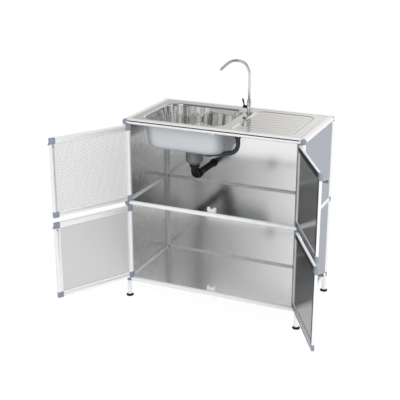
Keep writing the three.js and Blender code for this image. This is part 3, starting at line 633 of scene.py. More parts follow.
dull_metal = finish_of("knob_metal", (0.36, 0.34, 0.3), 1.0, 0.14, (800,) * 3, 0.00003, 0.1)

# Which lit or shaded copy of the steel each door's sheet takes.
DOOR_SHEETS_AS_LIT = {"left_upper": upper_left_sheet_painted_light, "left_lower": lower_left_sheet_painted_light, "right_upper": upper_right_sheet_painted_shade,
              "right_lower": lower_right_sheet_painted_shade}

DOT_PITCH = 0.0079                    # metres between dots
DOT_R, DOT_EDGE = 0.22, 0.1           # a dot's radius and soft edge, as shares of the pitch
# How far a dot's colour is darkened, as painted shade for its hole, and how deep it dips.
DOT_PAINTED_SHADE, DOT_DEPTH = 0.45, 0.0004


def more_relief(tree, height, strength, distance):
    """Adds a bump over the relief that a finish has already."""
    normal = tree.nodes["Principled BSDF"].inputs["Normal"]
    bump = node_of(tree, "ShaderNodeBump", Height=height, Strength=strength, Distance=distance,
                   Normal=normal.links[0].from_socket)
    linked(tree, bump.outputs[0], normal)


def dots(material):
    """Small round dips in staggered rows over the sheet, darkened in colour: painted shade for their
    holes.
    """
    tree = material.node_tree
    where = node_of(tree, "ShaderNodeTexCoord").outputs["Object"]
    turn = node_of(tree, "ShaderNodeMapping", Vector=where, Rotation=(0, pi / 4, 0),
                   Scale=(1 / DOT_PITCH,) * 3)
    cell = node_of(tree, "ShaderNodeSeparateXYZ", Vector=turn.outputs[0])
    u, w = (maths(tree, "SUBTRACT", maths(tree, "FRACT", cell.outputs[axis], 0), 0.5)
            for axis in ("X", "Z"))
    far = maths(tree, "SQRT", maths(tree, "ADD", maths(tree, "MULTIPLY", u, u),
                                    maths(tree, "MULTIPLY", w, w)), 0)
    hole = spread(tree, far, DOT_R, DOT_R + DOT_EDGE, DOT_PAINTED_SHADE)
    colour = tree.nodes["Principled BSDF"].inputs["Base Color"]
    linked(tree, scaled(tree, colour.links[0].from_socket, hole), colour)
    more_relief(tree, hole, 0.6, DOT_DEPTH)


dots(upper_left_sheet_painted_light)

BAR = [(0.0, 3.6), (0.7, 4.9), (2.2, 5.5), (13.2, 5.5), (14.2, 4.9), (15.2, 4.3), (24.2, 4.3),
       (25.0, 3.7), (25.0, 1.1)]


def bar(start, end):
    """A door bar along X: its outer edge at z = 0, the groove for the sheet at z = 25."""
    section = [(z, y) for z, y in BAR] + [(z, -y) for z, y in reversed(BAR)]
    n = len(section)
    verts = [(x, y, z) for x in (start, end) for z, y in section]
    faces = [(i, (i + 1) % n, n + (i + 1) % n, n + i) for i in range(n)]
    return verts, faces + [tuple(range(n)), tuple(range(n, 2 * n))]


KNOB = [(0, -8.1), (3.1, -8.1), (3.6, -7.6), (3.6, -5.8), (2, -5.8), (2, 5.8), (3.4, 5.8),
        (3.4, 18.0), (4.4, 18.6), (5.8, 20.2), (6.4, 22.4), (6.4, 26.6), (5.9, 28.6), (4.8, 30.0),
        (3.0, 30.3), (0, 30.3)]

top_bar = shifted(0, 0, HEIGHT) @ Matrix.Scale(-1, 4, (0, 0, 1))
hinge_bar = shifted(-HINGE_EDGE, 0, 0) @ ALONG["x"] @ Matrix.Scale(-1, 4, (1, 0, 0))
free_bar = shifted(REACH, 0, 0) @ ALONG["-x"]
bars = together(bar(*LONG_BAR), moved(bar(*LONG_BAR), top_bar), moved(bar(*UPRIGHT), hinge_bar),
                moved(bar(*UPRIGHT), free_bar))
corners = together(*[block(x0, x1, -BLOCK_HALF, BLOCK_HALF, z0, z1, 1.2, 3)
                     for x0, x1 in BLOCKS_X for z0, z1 in BLOCKS_Z])
pins = together(*[moved(turned(PIN, 20), spot) for spot in (
    shifted(0, 0, -PIN_OUT), shifted(0, 0, HEIGHT + PIN_OUT) @ ALONG["-z"])])
panel = block(*PANEL_X, -SHEET / 2, SHEET / 2, *PANEL_Z, 0.2)

for side, sign, bar_finish in (("left", -1, left_bar_faces_shaded), ("right", 1, right_bar_faces_shaded)):
    for bay, (below, above) in BAYS.items():
        body = f"door_{side}_{bay}"
        pivot = Vector((sign * (WIDTH / 2 - PIVOT_IN), FRONT_Y - PIVOT_FRONT, below + GAP)) * MM
        hung = Matrix.Translation(pivot) @ Matrix.Rotation(sign * OPEN, 4, "Z")
        facing = Matrix.Scale(-sign, 4, (1, 0, 0))
        # The bars' edge faces take the white tube finish, a painted highlight, and their broad faces
        # the darkened copy, painted shade.
        put(f"{body}_bars", moved(bars, facing), bar_finish, body, [f"{body}_frame"],
            hung, second=(anodised, lambda face: abs(face.normal.y) < 0.8))
        put(f"{body}_corner_blocks", moved(corners, facing), grey_blue, body, (), hung)
        put(f"{body}_pins", pins, dull_metal, body, (), hung)
        put(f"{body}_panel", moved(panel, facing), DOOR_SHEETS_AS_LIT[f"{side}_{bay}"], body,
            [f"{body}_sheet"], hung)
        knob_spot = shifted(-sign * (REACH - KNOB_IN), 0, HEIGHT - KNOB_DOWN) @ ALONG["-y"]
        put(f"{body}_knob_turned", moved(turned(KNOB, 32), knob_spot), dull_metal, body,
            [f"{body}_knob"], hung)


# ---- Sink top ----
# One sheet of stainless steel, pressed: a raised rim that turns down over the front rail, a bowl
# with polished walls, and a drainer with long ridges. It lies on the top rails.
LEFT, FRONT, TOP = -WIDTH / 2, FRONT_Y, LEVELS["top"]      # the front left post at the top rails
DECK, RIM = 10.0, 11.2
RIM_IN, RIM_OUT, LIP_OUT, LIP_BOTTOM = 14.0, 0.5, 10.6, 8.0
BALL_CUT = 13.0                                    # the sheet is cut round the frame's front balls
BOWL_Y, BOWL_HX, BOWL_HY = 187.0, 180.0, 150.0
BOWL_BOTTOM = DECK - 137.0
HOLE_SEAT, HOLE_SEAT_Z, HOLE_R = 41.5, -126.2, 32.0        # the drain's sunk seat, and its hole
ZONE = (34.0, 430.0, 20.0, 354.0)                  # the part of the top that the bowl's rings fill
DRAINER = (462.0, 716.0, 26.0, 350.0, 38.0, 2.0)   # x0, x1, y0, y1, corner radius, depth
DRAINER_SLOPE = (-4.5, 5.5)                        # where its edge slopes, counted inwards
BEAD_HEIGHT, BEAD_UP, BEAD_DOWN = 0.35, (-11.0, -6.5), (-5.5, -1.5)    # a low bead round it
RIDGE_COUNT, RIDGE_PITCH = 8, 35.5
RIDGES = [62 + RIDGE_PITCH * k for k in range(RIDGE_COUNT)]
RIDGE_X0, RIDGE_X1 = 478.0, 700.0
RIDGE_FLAT, RIDGE_HALF, RIDGE_HEIGHT = 1.0, 6.4, 0.75
CREASE_X, CREASE_LEAN, CREASE_DEEP = 754, 11 / 314, 0.9    # a pressed line right of the drainer
CREASE_Y0, CREASE_Y1, CREASE_FADE, CREASE_SIDE = 40, 366, 6, (0.8, 3.0)
SHEET_STEEL = 1.2                                  # the thickness of the sheet


def smooth(low, high, value):
    """0 below low, 1 above high, and a soft step between them."""
    t = min(1.0, max(0.0, (value - low) / (high - low)))
    return t * t * (3 - 2 * t)


def inside_rounded(x, y, x0, x1, y0, y1, radius):
    """How far a point is inside a rounded rectangle, negative outside."""
    dx = abs(x - (x0 + x1) / 2) - (x1 - x0) / 2 + radius
    dy = abs(y - (y0 + y1) / 2) - (y1 - y0) / 2 + radius
    return radius - hypot(max(dx, 0), max(dy, 0)) - min(max(dx, dy), 0)


def top_height(x, y):
    """The height of the pressed top outside the bowl."""
    x0, x1, y0, y1, radius, drop = DRAINER
    from_edge = min(x, WIDTH - x, y, DEPTH - y)
    z = DECK + (RIM - DECK) * (1 - smooth(RIM_IN - 3.0, RIM_IN + 2.0, from_edge))
    depth = inside_rounded(x, y, x0, x1, y0, y1, radius)
    z -= drop * smooth(*DRAINER_SLOPE, depth)
    z += BEAD_HEIGHT * smooth(*BEAD_UP, depth) * (1 - smooth(*BEAD_DOWN, depth))
    ridge = min(abs(y - middle) for middle in RIDGES)
    beyond = max(RIDGE_X0 - x, x - RIDGE_X1, 0)
    away = hypot(ridge, beyond)
    if away < RIDGE_HALF:
        z += RIDGE_HEIGHT * (1 - smooth(RIDGE_FLAT, RIDGE_HALF, away))
    crease = CREASE_X - (y - CREASE_Y0 - 7) * CREASE_LEAN
    fading = smooth(CREASE_Y0, CREASE_Y0 + CREASE_FADE, y) * (
        1 - smooth(CREASE_Y1 - CREASE_FADE, CREASE_Y1, y))
    return z - CREASE_DEEP * (1 - smooth(*CREASE_SIDE, abs(x - crease))) * fading


def stations(*runs):
    """Grid lines: each run is (from, to, step)."""
    lines = []
    for start, stop, step in runs:
        n = max(1, round((stop - start) / step))
        lines += [start + (stop - start) * k / n for k in range(n)]
    return lines + [runs[-1][1]]


# The grid's lines lie close together wherever the sheet bends.
x_lines = stations((-RIM_OUT, 3.5, 2), (3.5, 11.5, 4), (11.5, 16, 1.1), (16, 34, 9), (34, 430, 9),
                   (430, 452, 11), (452, 470, 1.8), (470, 500, 2.5), (500, 678, 20),
                   (678, 706, 2.5), (706, 727, 1.8), (727, 738, 5.5), (738, 758, 1.0),
                   (758, 763.5, 1.1), (763.5, 771.5, 4), (771.5, WIDTH + RIM_OUT, 2))
y_runs = [(-LIP_OUT, -LIP_OUT + 0.1, 0.1), (-LIP_OUT + 0.1, -LIP_OUT + 0.8, 0.7),
          (-LIP_OUT + 0.8, -0.5, 3.1), (-0.5, 3.5, 2), (3.5, 11.5, 4), (11.5, 16, 1.1), (16, 20, 2)]
y_runs += [(20, 23, 1.5), (23, 55, 1.9)]
for k, middle in enumerate(RIDGES):
    gap_end = (middle + RIDGE_PITCH - 7, 5.4) if k < RIDGE_COUNT - 1 else (354, 1.9)
    y_runs += [(middle - 7, middle + 7, 1.0), (middle + 7, *gap_end)]
y_runs += [(354, 366, 4), (366, 378, 6), (378, 382.5, 1.1), (382.5, 390.5, 4),
           (390.5, DEPTH + RIM_OUT, 2)]
y_lines = stations(*y_runs)
zone_x = [x for x in x_lines if ZONE[0] - 0.01 <= x <= ZONE[1] + 0.01]
zone_y = [y for y in y_lines if ZONE[2] - 0.01 <= y <= ZONE[3] + 0.01]


def on_ring(x, y, half_x, half_y, radius):
    """Maps a point of the zone's edge to a rounded rectangle round the bowl's middle."""
    x0, x1, y0, y1 = ZONE
    f = 2 * (x - x0) / (x1 - x0) - 1
    g = 2 * (y - y0) / (y1 - y0) - 1
    on_side = abs(abs(f) - 1) < 1e-6 and abs(g) <= 1
    if on_side:
        long, wide, share, outward = half_y, half_x, g, f
    else:
        long, wide, share, outward = half_x, half_y, f, g
    straight = long - radius
    arc = radius * pi / 4
    s = share * (straight + arc)
    if abs(s) <= straight:
        along, out = s, wide
    else:
        turn = (abs(s) - straight) / radius
        along = (straight + radius * sin(turn)) * (1 if s > 0 else -1)
        out = wide - radius + radius * cos(turn)
    out *= 1 if outward > 0 else -1
    return (out, along) if on_side else (along, out)


# The bowl's rings from its edge to its floor: (beyond its half sizes, corner radius, height).
WALL = [(9.5, 64, DECK), (6.5, 62, DECK - 0.05), (4.2, 60, DECK - 0.4), (2.4, 59, DECK - 1.2),
        (1.0, 58, DECK - 2.6), (0.2, 57.5, DECK - 4.6), (-0.2, 57, DECK - 7.5), (-2.4, 56.5, -18),
        (-5.0, 55.5, -44), (-7.6, 54.5, -70), (-9.2, 54, -86), (-10.4, 53.5, -94),
        (-12.2, 53, -101.5), (-14.8, 52, -108), (-18.2, 51, -113.6), (-22.6, 49, -118.2),
        (-28, 46, -121.6), (-34.5, 43, -123.6), (-46, 39, -124.7), (-62, 36, -125.3),
        (-84, 34, -125.9)]


def pressed_top():
    """The deck as a grid, with the bowl as rings inside the grid's open zone."""
    verts, faces, lookup = [], [], {}

    def vert(key, point):
        if key not in lookup:
            lookup[key] = len(verts)
            verts.append(point)
        return lookup[key]

    nx, ny = len(x_lines), len(y_lines)

    def grid(i, j):
        x, y = x_lines[i], y_lines[j]
        z = top_height(x, max(y, 0.0)) if j > 1 else (LIP_BOTTOM, RIM - 0.7)[j]
        for ball_x in (0.0, WIDTH):
            far = hypot(x - ball_x, y)
            if far < BALL_CUT:
                push = BALL_CUT / max(far, 1e-6)
                x, y = ball_x + (x - ball_x) * push, y * push
        return vert((i, j), (x, y, z))

    for i in range(nx - 1):
        for j in range(ny - 1):
            x, y = (x_lines[i] + x_lines[i + 1]) / 2, (y_lines[j] + y_lines[j + 1]) / 2
            if ZONE[0] < x < ZONE[1] and ZONE[2] < y < ZONE[3]:
                continue
            nearest = min(hypot(line_x - ball_x, line_y) for ball_x in (0.0, WIDTH)
                          for line_x in x_lines[i:i + 2] for line_y in y_lines[j:j + 2])
            middle = hypot(min(abs(x), abs(x - WIDTH)), y)
            if nearest < BALL_CUT and middle < BALL_CUT - 0.6:
                continue
            if y < -RIM_OUT and not BALL_CUT + 0.4 < x < WIDTH - BALL_CUT - 0.4:
                continue
            faces.append((grid(i, j), grid(i + 1, j), grid(i + 1, j + 1), grid(i, j + 1)))
    loop = [(x, zone_y[0]) for x in zone_x[:-1]] + [(zone_x[-1], y) for y in zone_y[:-1]]
    loop += [(x, zone_y[-1]) for x in reversed(zone_x[1:])]
    loop += [(zone_x[0], y) for y in reversed(zone_y[1:])]
    rings = [[grid(x_lines.index(x), y_lines.index(y)) for x, y in loop]]
    for grow, radius, z in WALL:
        ring = []
        for k, (x, y) in enumerate(loop):
            a, b = on_ring(x, y, BOWL_HX + grow, BOWL_HY + grow, radius)
            ring.append(vert((z, grow, k), (BOWL_X + a, BOWL_Y + b, z)))
        rings.append(ring)
    ring = []
    for k, (x, y) in enumerate(loop):
        a, b = on_ring(x, y, HOLE_SEAT, HOLE_SEAT, HOLE_SEAT - 0.1)
        ring.append(vert(("seat", k), (BOWL_X + a, BOWL_Y + b, HOLE_SEAT_Z)))
    rings.append(ring)
    inward = HOLE_R / HOLE_SEAT
    rings.append([vert(("hole", k), (BOWL_X + inward * (verts[v][0] - BOWL_X),
                                     BOWL_Y + inward * (verts[v][1] - BOWL_Y), BOWL_BOTTOM))
                  for k, v in enumerate(ring)])
    n = len(loop)
    for outer, inner in zip(rings, rings[1:]):
        faces += [(outer[k], outer[(k + 1) % n], inner[(k + 1) % n], inner[k]) for k in range(n)]
    return verts, faces


deck_steel = finish_of("sink_satin", (0.8, 0.785, 0.755), 1.0, 0.13, (30, 1400, 1400), 0.000002,
                       0.01, 0.02)
bowl_steel = finish_of("sink_polished", (0.79, 0.79, 0.785), 1.0, 0.05, (300, 300, 40), 0.0000005,
                       0.01, 0.02)
# The rim band and the corner domes take the deck's steel made whiter and less metallic: a painted
# highlight.
rim_painted_highlight = finish_of("sink_rim_painted_highlight", (0.97, 0.965, 0.955), 0.35, 0.35, (900,) * 3, 0.000001, 0.01)
under_steel = finish_of("sink_underside", (0.62, 0.645, 0.67), 0.2, 0.42, (400,) * 3, 0.00001,
                        0.02)

# The deep draw has left long upright marks in the bowl's walls.
DRAW_MARKS, MARK_DEPTH = (55, 55, 5), 0.00015

tree = bowl_steel.node_tree
where = node_of(tree, "ShaderNodeTexCoord").outputs["Object"]
upright = node_of(tree, "ShaderNodeMapping", Vector=where, Scale=DRAW_MARKS)
marks = node_of(tree, "ShaderNodeTexNoise", Vector=upright.outputs[0], Scale=1.0, Detail=2.0)
more_relief(tree, marks.outputs["Fac"], 1.0, MARK_DEPTH)

shape = moved(pressed_top(), shifted(LEFT, FRONT, TOP))
inside_bowl = (LEFT + BOWL_X, FRONT + BOWL_Y)
BOWL_REACH = 260                       # no face of the bowl is further from its middle


def is_bowl(face):
    x, y, z = face.center / MM
    return z < TOP + DECK - 1.0 and hypot(x - inside_bowl[0], y - inside_bowl[1]) < BOWL_REACH


sink = put("sink_top_pressed", shape, deck_steel, "unit", ["sink_top"],
           second=(bowl_steel, is_bowl), sharp=50)
# Faces near the outer edge take the whiter rim finish: a painted highlight.
sink.data.materials.append(rim_painted_highlight)
for face in sink.data.polygons:
    x, y = face.center.x / MM - LEFT, face.center.y / MM - FRONT
    if min(x, WIDTH - x, y, DEPTH - y) < RIM_IN:
        face.material_index = 2
if sum(face.normal.z * face.area for face in sink.data.polygons) < 0:
    sink.data.flip_normals()
sink.data.materials.append(under_steel)
sheet = sink.modifiers.new("sheet", "SOLIDIFY")
sheet.thickness = SHEET_STEEL * MM
sheet.offset = -1.0
sheet.use_even_offset = True
sheet.material_offset = 3

# Under its front edge a black strip stands for the shadow in the gap between the lip and the
# front rail: painted shade. Domes pressed in its back corners cover the frame's balls there.
SHADE_STRIP_IN = 13.6                         # from the posts' axes to its ends
shade_strip = block(SHADE_STRIP_IN, WIDTH - SHADE_STRIP_IN, -10.4, -7.6, 3.6, LIP_BOTTOM - 0.1, 0.3)
put("front_shade_strip", moved(shade_strip, shifted(LEFT, FRONT, TOP)), black_rubber, "unit")

DOME_OUT, DOME_IN = 12.0, 10.9
DOME_LOW, DOME_WHOLE = -6.0, 9.8       # its lower edge, and where it closes all round
DOME_SWEEP = radians(160)              # as far as its skirt goes round


def dome(low, high, start, sweep):
    """A part of a hollow ball between two heights, for as far round as sweep says."""
    rims = [atan2(z, (DOME_OUT ** 2 - z * z) ** 0.5) for z in (low, high)]
    angles = [rims[0] + (rims[1] - rims[0]) * k / 8 for k in range(9)]
    profile = [(DOME_OUT * cos(a), DOME_OUT * sin(a)) for a in angles]
    profile += [(DOME_IN * cos(a), DOME_IN * sin(a)) for a in reversed(angles)]
    return turned(profile + profile[:1], 32, start, sweep)


for side, middle in (("left", radians(135)), ("right", radians(45))):
    cap = together(dome(DOME_LOW, DOME_WHOLE, middle - DOME_SWEEP / 2, DOME_SWEEP),
                   dome(DOME_WHOLE, DOME_OUT, 0.0, 2 * pi))
    x, y = CORNERS[f"back_{side}"]
    put(f"corner_dome_{side}", moved(cap, shifted(x, y, TOP)), rim_painted_highlight, "unit")


# ---- Drain, strainer and overflow grille ----
# A pressed steel flange is screwed down over the bowl's hole, with a lift-out strainer basket in
# it, and a small slotted cover closes the overflow hole in the bowl's right wall.
polished = finish_of("drain_polished", (0.7, 0.7, 0.7), 1.0, 0.12, (300,) * 3, 0.00001, 0.03, 0.03)

FLANGE_Z, BASKET_UP = -126.7, 0.9      # the flange from the top rails, and the basket from it
BASKET_WALL = 0.7
FLANGE = [(29.5, -20), (31, -20), (31, 0), (40.4, 0), (41, 0.3), (40.6, 0.9), (39.2, 1.5),
          (37.6, 1.8), (35, 1.7), (32.6, 1.3), (31.2, 0.6), (30.2, -0.4), (29.6, -2), (29.5, -20)]
under = shifted(inside_bowl[0], inside_bowl[1], TOP)       # the drain's axis at the top rails
put("drain_flange_ring", moved(turned(FLANGE, 56), under @ shifted(0, 0, FLANGE_Z)), polished,
    "unit", ["drain_flange"])


def strainer():
    """The basket: a pressed cup with rings of holes, a rolled edge and a knob to lift it by."""
    rows = [(28.6, -0.4), (28.8, 0.2), (28.4, 0.6), (27.2, 0.4), (26.8, -0.8), (24.6, -9),
            (22.9, -15), (22.0, -16.6), (20.0, -17.3), (16, -17.3), (12, -17.3), (8, -17.3),
            (4.6, -17.2), (3.4, -16), (2.8, -12), (2.8, -8), (4.4, -5.6), (5.0, -3.8), (4.6, -1.6),
            (3.4, -0.6), (0, -0.4)]
    verts, faces = turned(rows, 72)
    n = len(rows)
    kept = []
    for number, face in enumerate(faces):
        column, row = divmod(number, n - 1)
        holed = (row in (9, 11) and column % 6 in (0, 1)) or (row == 10 and column % 6 in (3, 4))
        holed = holed or (row == 5 and column % 6 in (2, 3))
        if not holed:
            kept.append(face)
    return verts, kept


basket = put("strainer_basket_pressed",
             moved(strainer(), under @ shifted(0, 0, FLANGE_Z + BASKET_UP)), polished,
             "strainer_basket", ["strainer_basket"])
wall = basket.modifiers.new("sheet", "SOLIDIFY")
wall.thickness = BASKET_WALL * MM
wall.offset = -1.0

COVER_IN, OVERFLOW_Z = 3.9, -34        # the cover from the bowl's right edge, and its height
SLOPE = radians(-5)                    # of the bowl's wall there
cover = [turned([(0, 0), (15, 0), (15.6, 0.5), (15.2, 1.3), (13.5, 1.8), (0, 2.1)], 40)]
cover += [block(x - 0.7, x + 0.7, -8, 8, 1.6, 2.7, 0.3) for x in (-9, -4.5, 0, 4.5, 9)]
spot = under @ shifted(BOWL_HX - COVER_IN, 0, OVERFLOW_Z) @ Matrix.Rotation(SLOPE, 4, "Y")
put("overflow_cover", moved(together(*cover), spot @ ALONG["-x"]), polished, "unit")


# ---- Waste and overflow ----
# Moulded plastic: a grey cup screwed to the drain, a black elbow with its union nut, a ribbed
# black hose that leaves through the back, and the overflow's elbow and pipe back to the cup.
cup_grey = finish_of("waste_plastic", (0.23, 0.23, 0.227), 0.0, 0.22, (500,) * 3, 0.00003, 0.08,
                     0.08)
hose_black = finish_of("hose_plastic", (0.009, 0.009, 0.01), 0.0, 0.4, (500,) * 3, 0.00005, 0.12,
                       0.08, Specular_IOR_Level=0.3)
pipe_grey = finish_of("overflow_plastic", (0.05, 0.058, 0.07), 0.0, 0.33, (500,) * 3, 0.00005, 0.1,
                      0.08)

CUP = [(16.5, -216), (18.4, -216), (19, -215.4), (19, -211), (19, -210), (21.5, -208.6),
       (23.5, -207), (29, -202.6), (35.5, -197.2), (37.6, -195), (38.5, -192.4), (38.5, -146),
       (39.2, -144.8), (39.2, -142.6), (38.5, -141.6), (39.6, -139.9), (41.4, -138.6), (42, -137.6),
       (42, -129.2), (41.4, -128.7), (36.1, -128.7), (36.1, -192), (21, -205), (16.5, -208),
       (16.5, -216)]
PORT = [(7, 36.9), (9.5, 36.9), (9.5, 52), (10.4, 52.4), (10.4, 56), (9.8, 56.5), (7, 56.5),
        (7, 36.9)]
PORT_Z = -160                          # the overflow's way into the cup


def ribbed(outer, deep, start, end, pitch, ends=3.0):
    """The outside of a ribbed hose."""
    points = [(outer - 3.2, start), (outer - deep, start), (outer - deep, start + ends)]
    z = start + ends
    while z + pitch < end - ends:
        points += [(outer - deep, z + 0.12 * pitch), (outer - 0.25 * deep, z + 0.26 * pitch),
                   (outer, z + 0.42 * pitch), (outer, z + 0.6 * pitch),
                   (outer - 0.25 * deep, z + 0.76 * pitch), (outer - deep, z + 0.9 * pitch)]
        z += pitch
    return points + [(outer - deep, end), (outer - 3.2, end), (outer - 3.2, start)]


def ridged_nut(inner, outer, start, end, count=20):
    """A union nut with grip ridges."""
    profile = [(inner, start), (outer - 1.2, start), (outer - 0.2, start + 1),
               (outer - 0.2, end - 1), (outer - 1.2, end), (inner, end), (inner, start)]
    verts, faces = turned(profile, count * 6)
    n = len(profile)
    shaped = []
    for number, (x, y, z) in enumerate(verts):
        column, row = divmod(number, n)
        lift = (0.2 if column % 6 in (2, 3, 4) else -0.7) if row in (2, 3) else 0
        far = hypot(x, y)
        shaped.append((x * (far + lift) / far, y * (far + lift) / far, z))
    return shaped, faces


def swept(path, radii, sides=24, bore=0.0):
    """A round tube along a path of points, closed at its ends or with a bore."""
    points = [Vector(p) for p in path]
    verts, faces = [], []
    side_way = None
    frames = []
    for i, point in enumerate(points):
        ahead = (points[min(i + 1, len(points) - 1)] - points[max(i - 1, 0)]).normalized()
        if side_way is None:
            side_way = ahead.orthogonal().normalized()
        side_way = (side_way - ahead * side_way.dot(ahead)).normalized()
        frames.append((point, side_way, ahead.cross(side_way)))
    layers = list(zip(frames, radii))
    if bore:
        layers += [(frame, bore) for frame in reversed(frames)]
    turns = [(cos(2 * pi * k / sides), sin(2 * pi * k / sides)) for k in range(sides)]
    for (point, a, b), radius in layers:
        verts += [tuple(point + (a * c + b * s) * radius) for c, s in turns]
    count = len(layers)
    rings = count if bore else count - 1
    for i in range(rings):
        j = (i + 1) % count
        faces += [(i * sides + k, i * sides + (k + 1) % sides, j * sides + (k + 1) % sides,
                   j * sides + k) for k in range(sides)]
    if not bore:
        faces += [tuple(range(sides)), tuple(range((count - 1) * sides, count * sides))]
    return verts, faces


def curve_through(points, steps):
    """A smooth path through points."""
    points = [Vector(p) for p in points]
    ends = [2 * points[0] - points[1]] + points + [2 * points[-1] - points[-2]]
    path = []
    for i in range(1, len(ends) - 2):
        a, b, c, d = ends[i - 1:i + 3]
        for k in range(steps):
            t = k / steps
            path.append(0.5 * (2 * b + (c - a) * t + (2 * a - 5 * b + 4 * c - d) * t * t
                               + (3 * b - a - 3 * c + d) * t ** 3))
    return path + [points[-1]]


port = moved(turned(PORT, 28), shifted(0, 0, PORT_Z) @ ALONG["x"])
put("waste_cup_moulding", moved(together(turned(CUP, 56), port), under), cup_grey, "unit",
    ["waste_cup"])

BEND_R, BEND_TOP, BEND_END = 27, -238, 41
ELBOW_R, ELBOW_BORE = 15.5, 13.3
NUT_LOW, NUT_HIGH = -222.3, -211.2
quarter = [k * pi / 20 for k in range(11)]
bend = [(0, 0, -217.3)]
bend += [(0, BEND_R - BEND_R * cos(a), BEND_TOP - BEND_R * sin(a)) for a in quarter]
bend += [(0, BEND_END, HOSE_Z - TOP)]
elbow = swept(bend, [ELBOW_R] * len(bend), 32, ELBOW_BORE)
nut = ridged_nut(19.35, 21.6, NUT_LOW, NUT_HIGH)
LOWER_RING = [(15.2, 0), (21.2, 0), (21.6, 0.5), (21.6, 4), (15.2, 4), (15.2, 0)]
lower_ring = moved(turned(LOWER_RING, 40), shifted(0, 0, NUT_LOW))
put("waste_elbow_moulding", moved(together(elbow, nut, lower_ring), under), hose_black, "unit",
    ["waste_elbow"])

hose_way = shifted(inside_bowl[0], FRONT, HOSE_Z) @ ALONG["y"]
hose_nut = ridged_nut(15.8, 20.5, BOWL_Y + 35, BOWL_Y + 58, 18)
put("hose_nut_ring", moved(hose_nut, hose_way), hose_black, "unit", ["hose_nut"])
RIB_DEEP, RIB_PITCH, HOSE_OUT = 1.5, 5.2, 22       # the hose ends behind the back posts' axes
hose = turned(ribbed(HOSE_R, RIB_DEEP, BOWL_Y + BEND_END + 0.3, DEPTH + HOSE_OUT, RIB_PITCH), 40)
put("waste_hose_ribbed", moved(hose, hose_way), hose_black, "unit",
    ["waste_hose"])

drop = BOWL_HX + 19                    # the overflow pipe comes down beside the bowl
ROUTE = [(drop, 0, -48), (drop, 0, -64), (drop + 0.5, 0, -80), (drop + 0.5, 0, -104),
         (drop - 7, 0, -124), (drop - 22, 0, -137), (drop - 44, 0, -143.5), (120, 0, -149),
         (88, 0, -156), (72, 0, PORT_Z), (57, 0, PORT_Z)]
PIPE_R, PIPE_RIB, PIPE_BORE = 9.6, 0.55, 7.2
path = curve_through(ROUTE, 14)
ribs = [PIPE_R - PIPE_RIB * (k % 4 in (0, 1)) for k in range(len(path))]
HOUSING = [(0, -42), (10.2, -42), (11, -41.2), (11, -39.6), (12.8, -38.4), (14, -37), (14, -24),
           (14.5, -23), (14.5, -20), (14, -19), (14, 6), (13.4, 9.5), (11.4, 12.4), (7, 13.8),
           (0, 14)]
BRANCH = [(12, -16.6), (14.4, -16.6), (15, -16), (15, -12.6), (14.4, -12), (12, -12), (12, -4)]
spot = shifted(drop, 0, OVERFLOW_Z)
pipe = together(swept(path, ribs, 24, PIPE_BORE), moved(turned(HOUSING, 36), spot),
                moved(turned(BRANCH, 36), spot @ ALONG["x"]))
put("overflow_pipe_moulding", moved(pipe, under), pipe_grey, "unit",
    ["overflow_pipe"])


# ---- Tap ----
# Chromed brass: a turned body on a base flange, a black valve hub and lever on its left, and a
# thin swivelling gooseneck with a collar and a nozzle.
chrome = finish_of("tap_chrome", (0.7, 0.71, 0.72), 1.0, 0.04, (200,) * 3, 0.000001, 0.01, 0.015,
                   Specular_Tint=(0.3, 0.3, 0.31, 1.0))
lever_black = finish_of("lever_plastic", (0.01, 0.01, 0.011), 0.0, 0.35, (400,) * 3, 0.00003, 0.1,
                        Specular_IOR_Level=0.3)

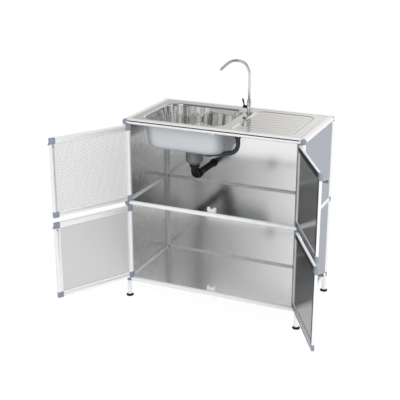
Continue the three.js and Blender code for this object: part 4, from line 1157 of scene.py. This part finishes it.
TAP_X, TAP_Y = 434, 303                # from the front left post
VALVE = 36.0                           # the valve's height over the top rails
THREAD_TURNS = [(5.0 + 0.5 * (k % 2), -33.2 + k * 0.8) for k in range(28)]
BODY = [(0, -34), (5.2, -34), *THREAD_TURNS, (5.5, -10.6), (5.5, -2), (12.4, -2), (13, -1.4),
        (13, 7.6), (12.4, 8.3), (5.5, 8.3), (5.5, 10.3), (14.4, 10.3), (15, 10.8), (15, 11.4),
        (14.5, 12.2), (12.4, 13.4), (10.9, 14.6), (9.9, 16.2), (9.2, 18.4), (9, 20), (9, 56.6),
        (8.6, 57.6), (8, 58), (0, 58)]
VALVE_SLEEVE = [(0, 2), (6.3, 2), (6.3, 12.4), (5.9, 13), (0, 13)]
tap = shifted(LEFT + TAP_X, FRONT + TAP_Y, TOP)
valve = shifted(0, 0, VALVE)
put("tap_body_turned", moved(turned(BODY, 48), tap), chrome, "unit", ["tap_body"])
sleeve = moved(turned(VALVE_SLEEVE, 32), valve @ ALONG["-x"])
put("tap_valve_sleeve", moved(sleeve, tap), lever_black, "unit")

HUB = [(0, 13.3), (6.1, 13.3), (6.6, 13.8), (6.6, 17), (6.3, 17.3), (6.3, 17.9), (6.6, 18.2),
       (6.6, 24.6), (6.3, 25.7), (5.5, 26.7), (4.4, 27.4), (0, 27.5)]
ARM = [(0, 0), (2.7, 0), (2.7, 5), (2.9, 9), (3.3, 16), (3.8, 23), (4.0, 26.5), (3.7, 28.8),
       (2.8, 30.2), (1.5, 30.9), (0, 31)]
ARM_LEAN = radians(-15)
hub = moved(turned(HUB, 36), ALONG["-x"])
arm = moved(turned(ARM, 24), shifted(-21.5, 0, 4) @ Matrix.Rotation(ARM_LEAN, 4, "Y"))
put("tap_lever_moulding", moved(together(hub, arm), tap @ valve), lever_black, "tap_lever",
    ["tap_lever"])

NECK = [(0, 60), (0, 80), (0, 110), (0, 140), (0, 165), (-1.5, 186), (-8, 206), (-21, 221),
        (-40, 229.5), (-61, 230), (-80, 226), (-96, 217.5), (-110, 205.5), (-132, 184.5)]
NECK_R, NECK_BORE = 5.4, 4.2
EASINGS = 60                           # times that the neck's path is smoothed
path = curve_through([(x, 0, z) for x, z in NECK], 10)
for _ in range(EASINGS):
    eased = [(a + 2 * b + c) / 4 for a, b, c in zip(path, path[1:], path[2:])]
    path = [path[0], *eased, path[-1]]
radii = [NECK_R] * (len(path) - 3) + [NECK_R - 0.1, NECK_R, NECK_R - 0.2]
RING = [(4.8, 58.3), (8, 58.3), (8.4, 58.7), (8.4, 62.6), (8.1, 62.9), (8.1, 63.5), (8.4, 63.8),
        (8.4, 65.8), (7.9, 67), (6.9, 68.3), (6.2, 69), (4.8, 69), (4.8, 58.3)]
spout = together(swept(path, radii, 32, NECK_BORE), turned(RING, 40))
put("tap_spout_bent", moved(spout, tap), chrome, "tap_spout", ["tap_spout"])
